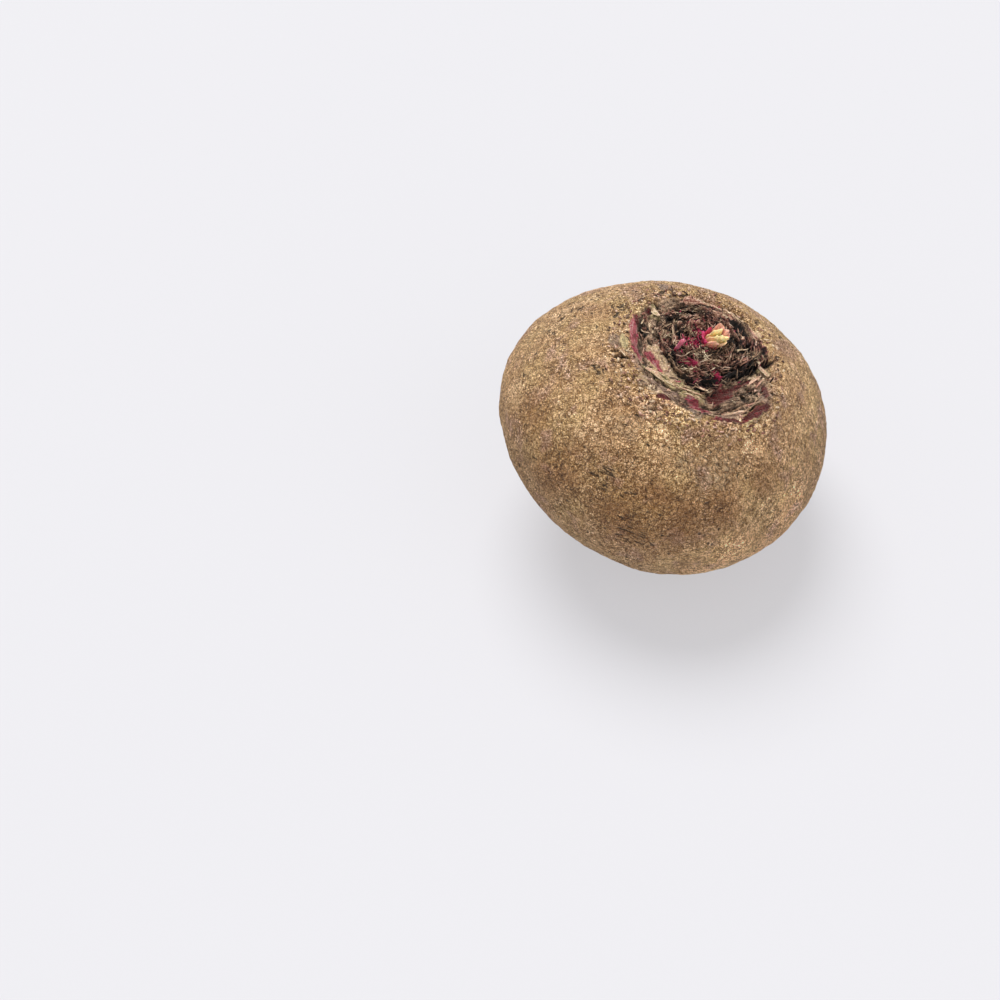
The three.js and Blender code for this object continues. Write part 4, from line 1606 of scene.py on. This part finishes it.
# Shreds of torn stalk: x, y, heading, length, width, thickness, lift of the far end, bend, tone.
SHREDS = (
    (-14.3, -12.8, -35.0, 6.2, 1.7, 0.34, 0.15, 0.5, 0.8),
    (-13.6, -11.7, -33.0, 4.8, 0.5, 0.3, 0.3, 0.5, 0.9),
    (-9.9, -15.1, -33.0, 4.0, 0.8, 0.3, 0.3, 0.3, 0.84),
    (-4.6, -15.6, -11.0, 9.6, 0.8, 0.34, 0.3, 1.0, 0.82),
    (-5.2, -16.8, -14.0, 8.4, 0.7, 0.3, 0.2, 0.7, 0.72),
    (-3.8, -18.5, -14.0, 6.4, 0.5, 0.3, 0.2, 0.5, 0.8),
    (-13.4, 9.0, -78.0, 4.2, 2.0, 0.4, 0.8, 0.4, 0.86),
    (-22.9, -8.0, -60.0, 3.2, 0.6, 0.3, 0.3, 0.3, 0.82),
    (15.7, -3.5, -40.0, 5.0, 1.4, 0.5, 0.8, 0.6, 0.88),
    (9.9, -3.6, 41.0, 12.0, 0.7, 0.45, 0.3, 0.9, 0.60),
    (9.0, -2.9, 40.0, 9.0, 0.5, 0.4, 0.4, 0.7, 0.52),
    (11.0, -3.6, 43.0, 7.4, 0.45, 0.35, 0.5, 0.6, 0.66),
    (8.4, -1.7, 27.0, 4.6, 0.34, 0.28, 0.6, 0.2, 0.93),
    (4.7, -6.3, 66.0, 3.2, 0.3, 0.24, 0.7, -0.6, 0.86),
    (4.0, -6.9, 58.0, 2.8, 0.26, 0.22, 0.4, -0.5, 0.74),
    (-15.6, 3.2, -95.0, 5.0, 0.5, 0.3, 0.4, 0.3, 0.8),
    (-16.6, 1.0, -60.0, 3.4, 0.4, 0.3, 0.6, 0.3, 0.84),
    (-17.2, 4.6, -110.0, 2.8, 0.35, 0.3, 0.5, 0.2, 0.9),
    (3.0, 11.0, 163.0, 11.0, 0.7, 0.5, 0.3, 1.3, 0.78),
    (5.4, 9.6, 158.0, 7.0, 0.5, 0.4, 0.4, 0.7, 0.8),
    (2.4, 15.0, 171.0, 12.0, 0.9, 0.6, 0.3, 1.5, 0.78),
    (8.8, 12.8, 142.0, 9.0, 0.9, 0.5, 0.4, 1.0, 0.82),
    (12.4, 9.6, 128.0, 7.0, 0.7, 0.5, 0.3, 0.9, 0.76),
    (-4.0, 14.6, -172.0, 7.0, 0.7, 0.5, 0.3, 0.9, 0.7),
    (12.9, -7.9, 50.0, 6.4, 0.8, 0.4, 0.4, 0.6, 0.84),
    (14.3, -8.6, 60.0, 5.0, 0.5, 0.35, 0.4, 0.5, 0.7),
    (9.6, -18.4, 30.0, 6.4, 0.5, 0.32, 0.3, 0.7, 0.66),
    (6.9, -21.2, 16.0, 6.8, 0.6, 0.34, 0.2, 0.7, 0.76),
    (7.9, -19.6, 24.0, 5.4, 0.4, 0.3, 0.4, 0.6, 0.6),
    (13.4, -14.6, 58.0, 5.6, 0.45, 0.32, 0.4, 0.6, 0.72),
    (-7.6, -12.9, -30.0, 5.0, 0.5, 0.3, 0.4, 0.4, 0.56),
)


def build_shreds(material):
    """Flat curled strips of torn stalk lying on the pad and round its edge."""
    share = np.linspace(0.0, 1.0, 31)[:, None]
    angle = np.linspace(0.0, FULL_TURN, 16, endpoint=False)[None, :]
    lofts, grains = [], []
    for index, (x, y, heading, length, width, thick, lift, bend, _) in enumerate(SHREDS):
        along = (share - 0.5) * length
        side = (share - 0.5) ** 2 * bend * -2.0
        breadth = np.clip(np.sin(math.pi * (0.02 + 0.96 * share)), 0.0, 1.0) ** 0.75
        crease = np.exp(-(((np.cos(angle) - 0.2) / 0.3) ** 2)) * (np.sin(angle) > 0.0) * thick * 0.6
        across = np.cos(angle) * width / 2.0 * breadth
        flat = np.stack([along + 0.0 * angle, across, 0.0 * across], axis=2)
        across = across * (1.0 + ripple(flat, 2.2, 200 + index) * 0.2) + ripple(flat, 4.0, 250 + index) * 0.14
        step_x, step_y = turned(along, side + across, math.radians(heading))
        middle_x, middle_y = turned(along, side, math.radians(heading))
        rest = 0.95 if inside_pad(PAD, x, y) > 0.0 else 0.62
        level = ground(x + middle_x, y + middle_y) + rest + lift * share**3
        level = level + ripple(flat, 2.4, 300 + index) * 0.14
        up = (np.sin(angle) * thick / 2.0 - crease) * breadth
        curled = (np.cos(angle) ** 2 * 0.22 * width**0.5 - 0.1) * breadth
        lofts.append(loft(np.stack([x + step_x, y + step_y, level + up + curled], axis=2), share[:, 0]))
        grain = np.stack([across * 1.6, along + 0.0 * angle, index * 7.0 + 0.0 * across], axis=2).reshape(-1, 3)
        grains.append(np.vstack([grain, grain[:1], grain[-1:]]))
    flags = {"tone": [shred[-1] for shred in SHREDS], "flesh": [0.0] * len(SHREDS)}
    return join_lofts("torn_shreds", lofts, material, flags, grains)


# ---------------------------------------------------------------- the setting

# The camera: its lens and sensor, how far it looks down, and where it stands from the root's middle.
CAMERA = {"lens": 85.0, "sensor": 36.0, "elevation": 48.0, "left": 45.2, "down": 21.2, "back": 636.7}
# The lights: power, spread, tilt, turn.
LIGHTS = {"key": (3.24, 40.0, 28.0, -159.0), "fill": (0.98, 80.0, 72.0, 38.0)}
WORLD_LIGHT = 0.486
FLOOR_REACH = 6.0  # metres
FLOOR_TONES = ((0.246, 0.244, 0.254), (0.254, 0.252, 0.262))
FLOOR_GLOW, FLOOR_GLOW_TINT = 0.49, (0.97, 0.962, 1.0, 1.0)


def make_camera():
    """A long lens that looks down on the crown from the front."""
    data = bpy.data.cameras.new("camera")
    camera = added("camera", data)
    bpy.context.scene.camera = camera
    data.lens, data.sensor_width = CAMERA["lens"], CAMERA["sensor"]
    data.clip_start, data.clip_end = 0.01, 20.0
    elevation = math.radians(CAMERA["elevation"])
    right = Vector((1.0, 0.0, 0.0))
    up = Vector((0.0, math.sin(elevation), math.cos(elevation)))
    back = Vector((0.0, -math.cos(elevation), math.sin(elevation)))
    place = Vector(STAND) - right * CAMERA["left"] - up * CAMERA["down"] + back * CAMERA["back"]
    camera.location = place * MM
    camera.rotation_euler = back.to_track_quat("Z", "Y").to_euler()


def make_floor():
    """A pale floor with a faint glow of its own, which keeps its shadows soft."""
    mesh = bpy.data.meshes.new("floor")
    corners = [(x * FLOOR_REACH, y * FLOOR_REACH, 0) for x, y in ((-1, -1), (1, -1), (1, 1), (-1, 1))]
    mesh.from_pydata(corners, [], [(0, 1, 2, 3)])
    floor = added("floor", mesh)
    material, shader, wire = new_material(
        "pale_floor", 0.9, emission_color=FLOOR_GLOW_TINT, emission_strength=FLOOR_GLOW
    )
    spot = wire.add("ShaderNodeTexCoord", None, None, 3)  # the object's own coordinates
    tone = rise(noise(spot, 0.4, 2.0), -1.0, 1.0)
    feed(mixed(tone, *FLOOR_TONES), shader, "Base Color")
    mesh.materials.append(material)


def make_lights():
    """An even white sky, a broad key light and a weaker fill."""
    world = bpy.data.worlds.new("studio")
    bpy.context.scene.world = world
    world.use_nodes = True
    background = world.node_tree.nodes["Background"]
    background.inputs["Color"].default_value = (1.0, 1.0, 1.0, 1.0)
    background.inputs["Strength"].default_value = WORLD_LIGHT
    for name, (power, spread, tilt, turn) in LIGHTS.items():
        light = bpy.data.lights.new(name, "SUN")
        light.energy = power
        light.angle = math.radians(spread)
        added(name, light).rotation_euler = (math.radians(tilt), 0.0, math.radians(turn))
    bpy.context.scene.view_settings.view_transform = "Standard"


def settle(piece, node):
    """Fixes a piece to the root in the place of a solid, and hides the solid."""
    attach(piece, "root")
    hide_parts(node)


make_camera()
make_floor()
make_lights()
cork = skin_material()
stalks = stalk_material()
settle(build_root(cork), "root")
settle(build_crown(cork), "root")
settle(build_crumbs("cork_crumbs", stalks, CRUMBS, False), "root")
settle(build_fibres("crown_fibres", stalks, CROWN_FIBRES, False), "root")
settle(build_hairs(stalks), "root")
settle(build_pad(stalks), "leaf_stubs")
settle(build_stubs(stalks), "leaf_stubs")
settle(build_fibres("pad_fibres", stalks, PAD_FIBRES, True), "leaf_stubs")
settle(build_crumbs("pad_crumbs", stalks, PAD_CRUMBS, True), "leaf_stubs")
settle(build_shreds(stalks), "leaf_stubs")
yellow, pink, red = (0.90, 0.73, 0.34), (0.80, 0.41, 0.28), (0.38, 0.02, 0.05)
settle(build_bud(young_material("young_leaf", yellow, pink, red)), "bud")
rosy, bright = (0.64, 0.165, 0.245), (0.50, 0.06, 0.14)
settle(build_shoot(young_material("pink_stalk", rosy, bright, red)), "side_shoot")
